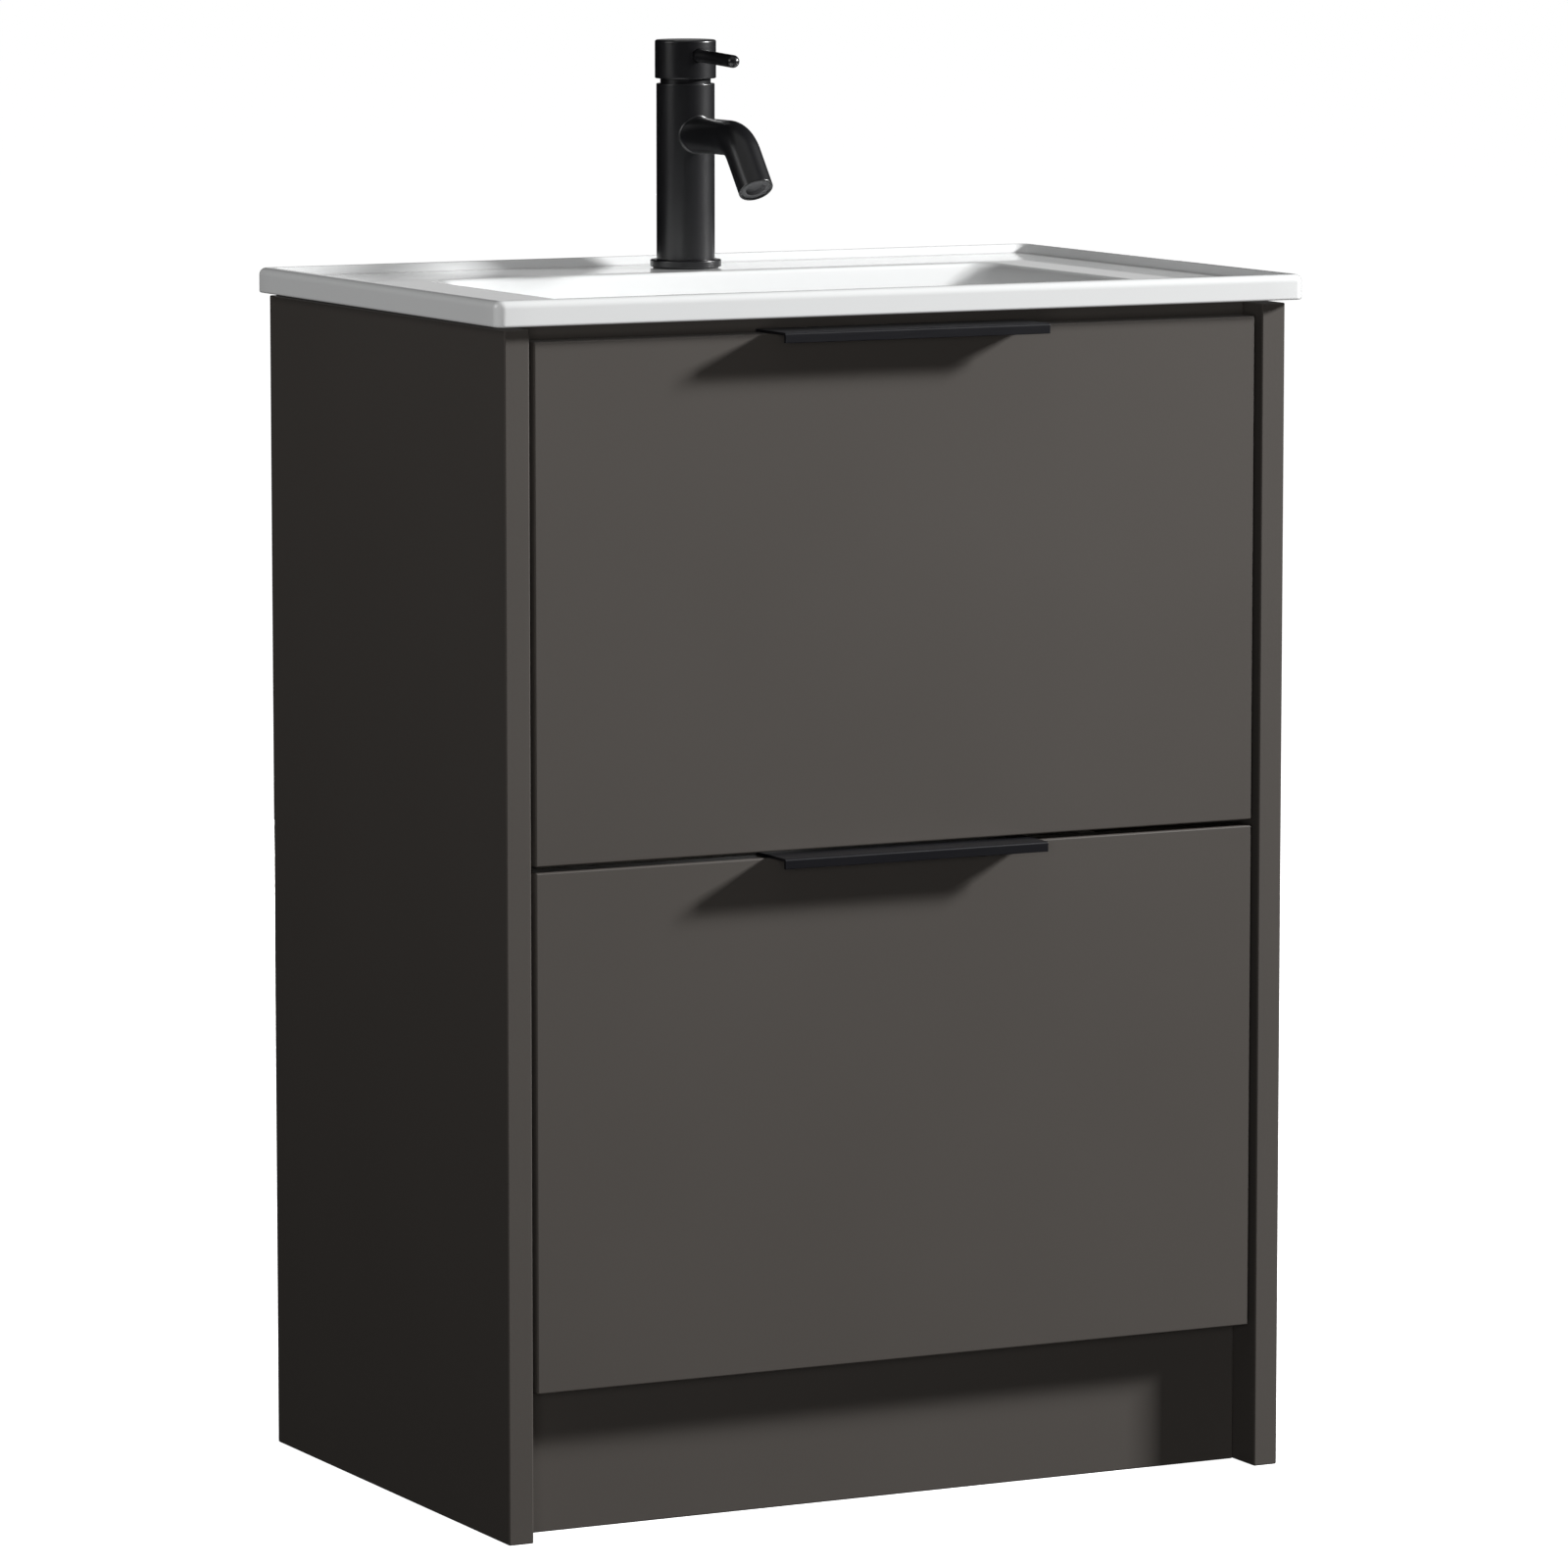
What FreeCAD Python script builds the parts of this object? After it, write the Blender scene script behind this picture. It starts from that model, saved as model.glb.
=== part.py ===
import FreeCAD, Part
import math
import os

# Floor-standing bathroom vanity: a two-drawer cabinet of lacquered board, a thin-edged ceramic
# basin and a single-lever tap.  Millimetres.  +X is the right-hand side seen from the front,
# +Y points at the wall behind and +Z up.  The origin is the bottom centre of the whole object.

Vec = FreeCAD.Vector
X, Y, Z = Vec(1, 0, 0), Vec(0, 1, 0), Vec(0, 0, 1)

# ---------------------------------------------------------------- cabinet
cabinet_width = 590.0
panel_depth = 385.0
panel_height = 810.0
panel_thickness = 18.0
rail_thickness = 16.0
board_edge_radius = 1.0
kickboard_height = 104.0
kickboard_recess = 30.0
front_rail_height = 60.0
rear_rail_height = 120.0
wall_hole_radius = 3.0
wall_hole_inset = 77.0          # from the rail's end to the wall hole

# ---------------------------------------------------------------- drawer fronts and pulls
front_thickness = 18.0
front_recess = 2.4              # fronts sit this far behind the side panels' front edges
front_side_gap = 4.4
front_split_gap = 4.0
front_top_gap = 10.9            # finger gap between the upper front and the basin
front_edge_radius = 1.2
lower_front_bottom = 100.0
lower_front_height = 350.0
front_to_carcass = 5.0          # room for the pulls' flanges behind the fronts
pull_length = 200.0
pull_reach = 24.0
pull_thickness = 2.0
pull_lip_height = 7.0
pull_flange_height = 22.0
pull_bend_radius = 0.8
pull_corner_radius = 1.4
pull_screw_inset = 30.0

# ---------------------------------------------------------------- drawer boxes
box_wall = 12.0
box_bottom_thickness = 6.0
box_bottom_lift = 8.0
groove_depth = 6.0
lower_box_lift = 32.0           # from the front's lower edge to the box's lower edge
upper_box_lift = 18.0
lower_box_height = 290.0
upper_box_top_gap = 36.8        # below the basin's outlet boss
box_past_runner = 4.0
recess_width = 180.0
recess_wall = 4.0
recess_ahead_of_waste = 50.0

# ---------------------------------------------------------------- runners
runner_thickness = 12.7
runner_height = 45.0
runner_sheet = 1.2
runner_back_gap = 57.0          # from the runners' ends to the cabinet's back
runner_front_gap = 2.0
runner_lift = 40.0              # runner centre above the box's lower edge
runner_end_step = 10.0          # the middle member is this much shorter
ball_radius = 1.5
ball_clearance = 0.05
ball_pitch = 25.0
balls_per_row = 5
cage_thickness = 1.0
cage_width = 3.4
member_gap = 0.8                # between the webs and the next member's flange ends

# ---------------------------------------------------------------- fasteners
screw_radius = 1.75
screw_length = 10.0
screw_head_radius = 3.2
screw_head_height = 1.6
cam_radius = 7.5
cam_depth = 12.5
cam_from_end = 24.0
bolt_radius = 3.0
bolt_head_radius = 3.6
bolt_head_length = 5.0
bolt_in_panel = 11.0
cam_slot_clearance = 0.4
dowel_radius = 4.0
dowel_in_panel = 10.0
dowel_in_board = 20.0
fitting_spacing = 32.0          # from a cam bolt to its dowel

# ---------------------------------------------------------------- basin
side_overhang = 10.0
front_overhang = 10.0
sealant_thickness = 2.4
sealant_width = 10.0
rim_height = 17.4
rim_corner_radius = 7.0
rim_edge_radius = 5.0
rim_lower_radius = 1.5
lip_height = 6.0
lip_width = 8.0
lip_slope = 5.0
bowl_end_margin = 85.0
bowl_front_margin = 64.0
bowl_back_margin = 102.0
bowl_corner_radius = 18.0
bowl_depth = 110.0
bowl_end_inset = 100.0          # how far the end walls lean in over the full depth
bowl_side_inset = 12.0
bowl_floor_blend = 26.0
bowl_end_power = 0.75
bowl_wall = 9.0
boss_margin = 4.0               # outlet boss beyond the waste flange
boss_height = 6.0

# ---------------------------------------------------------------- waste
waste_hole_clearance = 1.05
waste_tail_radius = 20.95       # threaded tail
waste_tail_wall = 4.45
waste_thread_spare = 6.0        # thread left free below the nut
waste_shoulder = 2.0            # closes the tail's foot round the outlet pipe
waste_pipe_radius = 15.875
waste_pipe_wall = 1.4
waste_pipe_length = 40.0
waste_flange_width = 11.05      # beyond the tail, as are the seal and the nut
waste_flange_height = 2.5
waste_flange_edge_radius = 1.2
waste_seal_width = 10.05
waste_seal_height = 4.0
waste_nut_width = 9.05
waste_nut_height = 12.0
guide_radius = 7.0
guide_top = 14.0
guide_length = 14.0
guide_rib = 3.0
stopper_inset = 2.5             # inside the waste flange
stopper_height = 4.6
stopper_edge_radius = 1.8
stopper_stem_radius = 4.0
stopper_stem_length = 32.0
rest_gap = 0.35                 # between pieces that move against each other
running_clearance = 0.05

# ---------------------------------------------------------------- tap, heights above the deck
tap_from_back = 55.0
tap_hole_radius = 17.5
tap_spigot_clearance = 1.5
tap_spigot_length = 9.0
tap_ring_step = 4.5             # beyond the body
tap_ring_top = 6.0
tap_seal_height = 1.0
tap_seal_inset = 2.0            # inside the ring
tap_body_radius = 20.5
tap_body_top = 129.5
tap_groove = 3.5
tap_head_step = 1.0             # beyond the body
tap_head_height = 27.0
tap_tilt_clearance = 4.0        # round the cartridge's collar, inside the head
tap_skirt_clearance = 1.55      # round the ring nut, inside the head's lower end
tap_skirt_depth = 7.0
tap_head_roof = 8.0
tap_head_top_radius = 1.5
tap_head_lower_radius = 0.8
spout_radius = 12.25
spout_bore_radius = 7.5
spout_height = 94.0
spout_level_length = 68.0
spout_bend_radius = 30.0
spout_bend_degrees = 51.0
spout_end_length = 30.0
aerator_wall = 1.75             # of the spout round the aerator
aerator_length = 8.0
aerator_recess = 1.0
aerator_rim = 3.5
cartridge_radius = 15.0
cartridge_foot_step = 4.0
cartridge_foot_length = 20.0
cartridge_length = 40.0
cartridge_collar_wall = 3.0     # round the spindle
cartridge_collar_top = 1.0      # above the body's top face
cartridge_nut_inset = 2.75      # inside the body's outer face
cartridge_nut_depth = 6.0       # let into the body
cartridge_nut_rise = 4.5        # above the body's top face, as the neck under the head
cartridge_nut_edge_radius = 0.8
cartridge_clearance = 0.1
spindle_radius = 9.0
spindle_in_cartridge = 16.0
spindle_above_collar = 0.5
tongue_thickness = 6.0
tongue_radius = 4.0
pivot_set_back = 4.5
pivot_below_head_top = 22.0
pivot_pin_radius = 2.0
lug_thickness = 3.65
lug_below_pivot = 5.0
lever_radius = 4.5
lever_reach = 79.0
lever_droop_degrees = 2.5
lever_root_below_head_top = 10.4
lever_spigot_radius = 3.0
lever_seat_depth = 2.0
inlet_radius = 4.6
inlet_depth = 12.0
inlet_bore_radius = 3.5
inlet_half_spacing = 7.6
inlet_ahead = 5.0
stud_radius = 4.0
stud_behind = 9.5
stud_in_body = 14.0
stud_below_basin = 48.0
clamp_washer_radius = 26.0
clamp_washer_thickness = 3.0
clamp_slot_half_width = 13.5
clamp_slot_end = 3.0
clamp_nut_flat_radius = 7.0
clamp_nut_length = 20.0

# ---------------------------------------------------------------- derived places
pull_overhang = pull_reach - front_recess
panel_front = (pull_overhang - panel_depth) / 2
panel_back = panel_front + panel_depth
half_width = cabinet_width / 2
inner_half = half_width - panel_thickness
front_face = panel_front + front_recess
front_back = front_face + front_thickness
carcass_front = front_back + front_to_carcass
floor_top = kickboard_height + rail_thickness

rim_bottom = panel_height + sealant_thickness
rim_top = rim_bottom + rim_height
deck = rim_top - lip_height
basin_half = half_width + side_overhang
basin_front = panel_front - front_overhang
bowl_half = basin_half - bowl_end_margin
bowl_front = basin_front + bowl_front_margin
bowl_back = panel_back - bowl_back_margin
bowl_floor = deck - bowl_depth
boss_bottom = bowl_floor - bowl_wall - boss_height
waste_y = (bowl_front + bowl_back) / 2
waste_bore_radius = waste_tail_radius - waste_tail_wall
waste_flange_radius = waste_tail_radius + waste_flange_width
waste_seal_radius = waste_tail_radius + waste_seal_width
waste_nut_radius = waste_tail_radius + waste_nut_width
boss_radius = waste_flange_radius + boss_margin
stopper_radius = waste_flange_radius - stopper_inset
waste_tail_foot = boss_bottom - waste_seal_height - waste_nut_height - waste_thread_spare
waste_pipe_foot = waste_tail_foot - waste_pipe_length

upper_front_bottom = lower_front_bottom + lower_front_height + front_split_gap
upper_front_top = rim_bottom - front_top_gap
runner_front = carcass_front + runner_front_gap
runner_length = panel_back - runner_back_gap - runner_front
box_back = runner_front + runner_length + box_past_runner
box_half = inner_half - runner_thickness
recess_front = waste_y - recess_ahead_of_waste

tap_y = panel_back - tap_from_back
tap_spigot_radius = tap_hole_radius - tap_spigot_clearance
tap_ring_radius = tap_body_radius + tap_ring_step
tap_seal_radius = tap_ring_radius - tap_seal_inset
tap_head_radius = tap_body_radius + tap_head_step
cartridge_collar_radius = spindle_radius + cartridge_collar_wall
cartridge_foot_radius = cartridge_radius - cartridge_foot_step
cartridge_nut_radius = tap_body_radius - cartridge_nut_inset
cartridge_seat = tap_body_top - cartridge_nut_depth
cartridge_floor = cartridge_seat - cartridge_length
head_hollow_radius = cartridge_collar_radius + tap_tilt_clearance
head_skirt_radius = cartridge_nut_radius + tap_skirt_clearance
tap_head_wall = tap_head_radius - head_hollow_radius
aerator_radius = spout_radius - aerator_wall
head_bottom = tap_body_top + tap_groove
head_top = head_bottom + tap_head_height
pivot_height = head_top - pivot_below_head_top

DRAWERS = {
    "upper": (upper_front_bottom, upper_front_top, upper_box_lift),
    "lower": (lower_front_bottom, lower_front_bottom + lower_front_height, lower_box_lift),
}
SIDES = {"left": -1, "right": 1}


# ---------------------------------------------------------------- small helpers
def block(x, y, z):
    """Box between three pairs of limits, each pair in any order."""
    low = Vec(min(x), min(y), min(z))
    return Part.makeBox(abs(x[1] - x[0]), abs(y[1] - y[0]), abs(z[1] - z[0]), low)


def board(x, y, z, radius=board_edge_radius):
    """Box with every edge rounded, as a lacquered board has."""
    plain = block(x, y, z)
    return plain.makeFillet(radius, plain.Edges)


def rod(start, direction, radius, length):
    return Part.makeCylinder(radius, length, start, direction)


def ring(centre, direction, outer, inner, length):
    return rod(centre, direction, outer, length).cut(rod(centre, direction, inner, length))


def hexagon(centre, flat_radius, length):
    """Upright hexagonal prism whose flats are flat_radius from its axis."""
    corner = flat_radius / math.cos(math.pi / 6)
    points = [centre + Vec(corner * math.cos(turn * math.pi / 3), corner * math.sin(turn * math.pi / 3), 0)
              for turn in range(7)]
    return Part.Face(Part.makePolygon(points)).extrude(Z * length)


def rounded_outline(x, y, z, radius):
    """Rectangle with round corners, as a wire lying at height z."""
    low, high = Vec(min(x), min(y), z), Vec(max(x), max(y), z)
    quarter = radius * (1 - math.sqrt(0.5))
    corners = [(low.x, low.y, 1, 1), (high.x, low.y, -1, 1), (high.x, high.y, -1, -1), (low.x, high.y, 1, -1)]
    edges, exits = [], []
    for index, (cx, cy, sx, sy) in enumerate(corners):
        along_x = Vec(cx + sx * radius, cy, z)
        along_y = Vec(cx, cy + sy * radius, z)
        middle = Vec(cx + sx * quarter, cy + sy * quarter, z)
        start, end = (along_y, along_x) if index % 2 == 0 else (along_x, along_y)
        exits.append((start, middle, end))
    for index, (start, middle, end) in enumerate(exits):
        edges.append(Part.Arc(start, middle, end).toShape())
        edges.append(Part.LineSegment(end, exits[(index + 1) % 4][0]).toShape())
    return Part.Wire(edges)


def edges_at(solid, test):
    return [edge for edge in solid.Edges if test(edge.BoundBox)]


def screw(point, direction):
    """Pan-head wood screw: its head's underside at the point, its shank along the direction."""
    head = rod(point - direction * screw_head_height, direction, screw_head_radius, screw_head_height)
    return head.fuse(rod(point, direction, screw_radius, screw_length))


def screw_hole(point, direction):
    return rod(point, direction, screw_radius, screw_length)


# ---------------------------------------------------------------- cam fittings of the carcass
def fitting(end, inward, face):
    """Cam disc, its bolt, and the holes for both in the board.

    end is the middle of the board's end, inward points into the board, and face points from
    the board's middle to the face that the cam is let into.
    """
    cam_centre = end + inward * cam_from_end
    mouth = cam_centre + face * (rail_thickness / 2)
    cam_hole = rod(mouth, face * -1, cam_radius, cam_depth)
    bolt_start = end - inward * bolt_in_panel
    shank_length = bolt_in_panel + cam_from_end - bolt_head_length
    shank = rod(bolt_start, inward, bolt_radius, shank_length)
    head = rod(bolt_start + inward * shank_length, inward, bolt_head_radius, bolt_head_length)
    bolt = shank.fuse(head)
    slot = rod(cam_centre + inward * cam_slot_clearance, inward * -1,
               bolt_head_radius + cam_slot_clearance, cam_radius + bolt_head_length)
    disc = cam_hole.cut(slot)
    bore = rod(end, inward, bolt_head_radius + cam_slot_clearance, cam_from_end)
    return disc, bolt, cam_hole.fuse(bore)


def dowel(end, inward):
    start = end - inward * dowel_in_panel
    return rod(start, inward, dowel_radius, dowel_in_panel + dowel_in_board)


# Each carcass board: limits in y and z, where its cams and dowels sit (y, z), and the cams' face.
mid_kick = kickboard_height / 2 - fitting_spacing / 2
mid_rear = panel_height - rear_rail_height / 2 - fitting_spacing / 2
mid_front = panel_height - front_rail_height / 2 - fitting_spacing / 2
kick_y = panel_front + kickboard_recess
rail_y = rail_thickness / 2
CARCASS_BOARDS = {
    "floor_panel": {
        "y": (carcass_front, panel_back), "z": (kickboard_height, floor_top), "face": Z * -1,
        "cams": [(carcass_front + 3 * fitting_spacing, floor_top - rail_y),
                 (panel_back - 3 * fitting_spacing, floor_top - rail_y)],
        "step": Y},
    "kickboard": {
        "y": (kick_y, kick_y + rail_thickness), "z": (0, kickboard_height), "face": Y,
        "cams": [(kick_y + rail_y, mid_kick)], "step": Z},
    "rear_plinth_rail": {
        "y": (panel_back - rail_thickness, panel_back), "z": (0, kickboard_height), "face": Y * -1,
        "cams": [(panel_back - rail_y, mid_kick)], "step": Z},
    "rear_top_rail": {
        "y": (panel_back - rail_thickness, panel_back), "z": (panel_height - rear_rail_height, panel_height),
        "face": Y * -1, "cams": [(panel_back - rail_y, mid_rear)], "step": Z},
    "front_top_rail": {
        "y": (carcass_front, carcass_front + rail_thickness),
        "z": (panel_height - front_rail_height, panel_height),
        "face": Y, "cams": [(carcass_front + rail_y, mid_front)], "step": Z},
}


def carcass_joints():
    """Every cam, bolt and dowel, with the holes that each board needs."""
    discs, bolts, dowels, holes = [], [], [], {name: [] for name in CARCASS_BOARDS}
    for name, plan in CARCASS_BOARDS.items():
        for side in SIDES.values():
            for y, z in plan["cams"]:
                end = Vec(side * inner_half, y, z)
                disc, bolt, hole = fitting(end, X * -side, plan["face"])
                peg = dowel(end + plan["step"] * fitting_spacing, X * -side)
                discs.append(disc)
                bolts.append(bolt)
                dowels.append(peg)
                holes[name] += [hole, peg]
    return discs, bolts, dowels, holes


def carcass_board(name, holes):
    plan = CARCASS_BOARDS[name]
    shape = board((-inner_half, inner_half), plan["y"], plan["z"]).cut(Part.makeCompound(holes))
    if name == "rear_top_rail":
        height = panel_height - rear_rail_height / 2
        for side in SIDES.values():
            centre = Vec(side * (inner_half - wall_hole_inset), panel_back - rail_thickness, height)
            shape = shape.cut(rod(centre, Y, wall_hole_radius, rail_thickness))
    return shape


def side_panel(side, fittings):
    """Full-height side; the bolts, dowels and runner screws that enter it cut their own holes."""
    panel = board((side * inner_half, side * half_width), (panel_front, panel_back), (0, panel_height))
    return panel.cut(Part.makeCompound(fittings))


# ---------------------------------------------------------------- runners, across their thickness
flange_reach = runner_thickness - 3 * runner_sheet
middle_web = runner_sheet + screw_head_height + 2 * member_gap
middle_tip = runner_thickness - runner_sheet - member_gap
drawer_tip = middle_web + runner_sheet + member_gap
row_gap = 2 * (ball_radius + ball_clearance)


def runner_levels():
    """Half heights of the three members' flanges, from the cabinet's outwards in to the drawer's."""
    cabinet = runner_height / 2
    middle = cabinet - runner_sheet - row_gap
    drawer = middle - runner_sheet - row_gap
    return cabinet, middle, drawer


def channel(side, web, tip, half, height, y):
    """C-section member: web and tip are distances from the side panel to its web and flange ends."""
    panel = side * inner_half
    toward = 1 if tip > web else -1
    outer = block((panel - side * web, panel - side * tip), y, (height - half, height + half))
    inner = block((panel - side * (web + toward * runner_sheet), panel - side * tip), y,
                  (height - half + runner_sheet, height + half - runner_sheet))
    return outer.cut(inner)


def runner_height_of(level):
    bottom, top, lift = DRAWERS[level]
    return bottom + lift + runner_lift


def runner_screw_places(level):
    """(y, height) of a runner's two screws."""
    height = runner_height_of(level)
    rear = runner_front + runner_length - fitting_spacing
    return [(runner_front + 1.5 * fitting_spacing, height), (rear, height)]


def runner(level, side):
    """The cabinet, middle and drawer members of one runner."""
    cabinet_half, middle_half, drawer_half = runner_levels()
    height = runner_height_of(level)
    run = (runner_front, runner_front + runner_length)
    short_run = (runner_front, runner_front + runner_length - runner_end_step)
    cabinet_member = channel(side, 0, flange_reach, cabinet_half, height, run)
    middle_member = channel(side, middle_web, middle_tip, middle_half, height, short_run)
    drawer_member = channel(side, runner_thickness, drawer_tip, drawer_half, height, run)
    for y, z in runner_screw_places(level):
        panel = side * inner_half
        cabinet_member = cabinet_member.cut(
            screw_hole(Vec(panel - side * runner_sheet, y, z), X * side))
        drawer_member = drawer_member.cut(
            screw_hole(Vec(panel - side * (runner_thickness - runner_sheet), y, z), X * -side))
    return cabinet_member, middle_member, drawer_member


def ball_row(x, height, first_y):
    """One row of balls held in its strip."""
    last_y = first_y + (balls_per_row - 1) * ball_pitch
    overrun = ball_pitch / 4
    strip = block((x - cage_width / 2, x + cage_width / 2), (first_y - overrun, last_y + overrun),
                  (height - cage_thickness / 2, height + cage_thickness / 2))
    balls = [Part.makeSphere(ball_radius, Vec(x, first_y + index * ball_pitch, height))
             for index in range(balls_per_row)]
    return strip.fuse(balls)


def ball_cages(level):
    """Ball rows of both runners: outer rows in the middle member's rear, inner rows in its front."""
    cabinet_half, middle_half, drawer_half = runner_levels()
    height = runner_height_of(level)
    outer_x = (middle_web + flange_reach) / 2
    inner_x = (drawer_tip + middle_tip) / 2
    rear = runner_front + runner_length - runner_end_step - balls_per_row * ball_pitch
    front = runner_front + ball_pitch / 2
    rows = []
    for side in SIDES.values():
        panel = side * inner_half
        for way in (-1, 1):
            outer_level = height + way * (middle_half + row_gap / 2)
            inner_level = height + way * (drawer_half + row_gap / 2)
            rows.append(ball_row(panel - side * outer_x, outer_level, rear))
            rows.append(ball_row(panel - side * inner_x, inner_level, front))
    return Part.makeCompound(rows)


def cabinet_runner_screws():
    screws = {side: [] for side in SIDES}
    for name, side in SIDES.items():
        for level in DRAWERS:
            for y, z in runner_screw_places(level):
                screws[name].append(screw(Vec(side * (inner_half - runner_sheet), y, z), X * side))
    return screws


# ---------------------------------------------------------------- drawers
def drawer_screws(level):
    """Screws of one drawer: two in each runner member and two in the pull's flange."""
    bottom, top, lift = DRAWERS[level]
    screws = []
    for side in SIDES.values():
        for y, z in runner_screw_places(level):
            x = side * (inner_half - runner_thickness + runner_sheet)
            screws.append(screw(Vec(x, y, z), X * -side))
        x = side * (pull_length / 2 - pull_screw_inset)
        height = top - pull_flange_height / 2
        screws.append(screw(Vec(x, front_back + pull_thickness, height), Y * -1))
    return screws


def drawer_front(level, screws):
    bottom, top, lift = DRAWERS[level]
    half = inner_half - front_side_gap
    front = board((-half, half), (front_face, front_back), (bottom, top), front_edge_radius)
    return front.cut(Part.makeCompound(screws))


def pull(level, screws):
    """Edge pull: a flange behind the front, a plate over its top edge and a lip turned down."""
    bottom, top, lift = DRAWERS[level]
    half = pull_length / 2
    lip_front = front_face - pull_reach
    outline = [
        (front_back + pull_thickness, top - pull_flange_height),
        (front_back + pull_thickness, top + pull_thickness),
        (lip_front, top + pull_thickness),
        (lip_front, top + pull_thickness - pull_lip_height),
        (lip_front + pull_thickness, top + pull_thickness - pull_lip_height),
        (lip_front + pull_thickness, top),
        (front_back, top),
        (front_back, top - pull_flange_height),
    ]
    points = [Vec(-half, y, z) for y, z in outline]
    solid = Part.Face(Part.makePolygon(points + points[:1])).extrude(X * pull_length)
    lip_middle = lip_front + pull_thickness / 2
    bends = edges_at(solid, lambda box: box.XLength > half and box.ZMin > top and box.YMax < front_face)
    solid = solid.makeFillet(min(pull_bend_radius, pull_thickness * 0.7), bends)
    ends = edges_at(solid, lambda box: box.YMax < lip_middle and box.ZLength > pull_lip_height / 2)
    solid = solid.makeFillet(min(pull_corner_radius, pull_thickness * 0.7), ends)
    return solid.cut(Part.makeCompound(screws))


def box_limits(level):
    """Lower and upper height of a drawer box."""
    bottom, top, lift = DRAWERS[level]
    low = bottom + lift
    high = boss_bottom - upper_box_top_gap if level == "upper" else low + lower_box_height
    return low, high


def box_side(level, side, screws):
    low, high = box_limits(level)
    wall = board((side * (box_half - box_wall), side * box_half), (front_back, box_back), (low, high))
    floor = low + box_bottom_lift
    groove = block((side * (box_half - box_wall), side * (box_half - box_wall + groove_depth)),
                   (front_back, box_back), (floor, floor + box_bottom_thickness))
    return wall.cut(groove).cut(Part.makeCompound(screws))


def box_bottom(level):
    low, high = box_limits(level)
    half = box_half - box_wall + groove_depth
    floor = low + box_bottom_lift
    panel = block((-half, half), (front_back, box_back), (floor, floor + box_bottom_thickness))
    if level == "upper":
        notch = recess_width / 2 + recess_wall
        panel = panel.cut(block((-notch, notch), (recess_front - recess_wall, box_back),
                                (floor, floor + box_bottom_thickness)))
    return panel


def box_rear(level, x):
    """Back board of a box between two x limits, standing on the bottom panel."""
    low, high = box_limits(level)
    base = low + box_bottom_lift + box_bottom_thickness
    return board(x, (box_back - box_wall, box_back), (base, high))


def plumbing_recess():
    """U-shaped liner that keeps the upper drawer clear of the waste."""
    low, high = box_limits("upper")
    inner = recess_width / 2
    outer = inner + recess_wall
    heights = (low + box_bottom_lift, high)
    shell = block((-outer, outer), (recess_front - recess_wall, box_back), heights)
    return shell.cut(block((-inner, inner), (recess_front, box_back), heights))


# ---------------------------------------------------------------- basin
def bowl_section(depth, grow):
    """Limits of the bowl at a depth below the deck, grown outwards by a wall."""
    share = depth / bowl_depth
    blend_start = bowl_depth - bowl_floor_blend
    over = max(0.0, depth - blend_start) / bowl_floor_blend
    blend = bowl_floor_blend * (1 - math.sqrt(max(0.0, 1 - over * over)))
    end = bowl_end_inset * share ** bowl_end_power + blend - grow
    side = bowl_side_inset * share + blend - grow
    x = bowl_half - end
    return (-x, x), (bowl_front + side, bowl_back - side), bowl_corner_radius + side + grow


def bowl_solid(grow, drop, top):
    """Loft through the bowl's sections; grow widens it and drop lowers its floor."""
    steps = (0.0, 0.14, 0.36, 0.62, 0.8, 0.9, 0.97, 1.0)
    wires = []
    for step in steps:
        x, y, radius = bowl_section(step * bowl_depth, grow)
        z = deck - step * (bowl_depth + drop) if step > 0 else top
        wires.append(rounded_outline(x, y, z, radius))
    return Part.makeLoft(wires, True, True)


def basin():
    """Thin-edged ceramic slab with a raised lip, a sloping bowl, a tap hole and a waste hole."""
    outer = rounded_outline((-basin_half, basin_half), (basin_front, panel_back), rim_bottom,
                            rim_corner_radius)
    slab = Part.Face(outer).extrude(Z * rim_height)
    slab = slab.makeFillet(rim_edge_radius, edges_at(slab, lambda box: box.ZMin > rim_top - 0.01))
    slab = slab.makeFillet(rim_lower_radius, edges_at(slab, lambda box: box.ZMax < rim_bottom + 0.01))
    rise = 1.0
    lean = lip_slope / lip_height * rise
    pocket = []
    for inset, z in ((lip_width - lean, rim_top + rise), (lip_width + lip_slope, deck)):
        pocket.append(rounded_outline((-basin_half + inset, basin_half - inset),
                                      (basin_front + inset, panel_back - inset), z, rim_corner_radius))
    slab = slab.cut(Part.makeLoft(pocket, True, True))
    shell = bowl_solid(bowl_wall, bowl_wall, deck - 1)
    boss = rod(Vec(0, waste_y, boss_bottom), Z, boss_radius, boss_height + bowl_wall / 2)
    solid = slab.fuse([shell, boss]).cut(bowl_solid(0, 0, deck + 0.5))
    waste_hole = rod(Vec(0, waste_y, boss_bottom), Z, waste_tail_radius + waste_hole_clearance, bowl_depth)
    tap_hole = rod(Vec(0, tap_y, rim_bottom), Z, tap_hole_radius, rim_height)
    return solid.cut(waste_hole).cut(tap_hole)


def sealant():
    """Bead of sealant on top of the panels and rails, set in from the cabinet's outside."""
    side_inset = (panel_thickness - sealant_width) / 2
    rail_inset = (rail_thickness - sealant_width) / 2
    outer_x = half_width - side_inset
    outer_y = (carcass_front + rail_inset, panel_back - rail_inset)
    heights = (panel_height, rim_bottom)
    frame = block((-outer_x, outer_x), outer_y, heights)
    hole = block((-outer_x + sealant_width, outer_x - sealant_width),
                 (outer_y[0] + sealant_width, outer_y[1] - sealant_width), heights)
    return frame.cut(hole)


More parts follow.
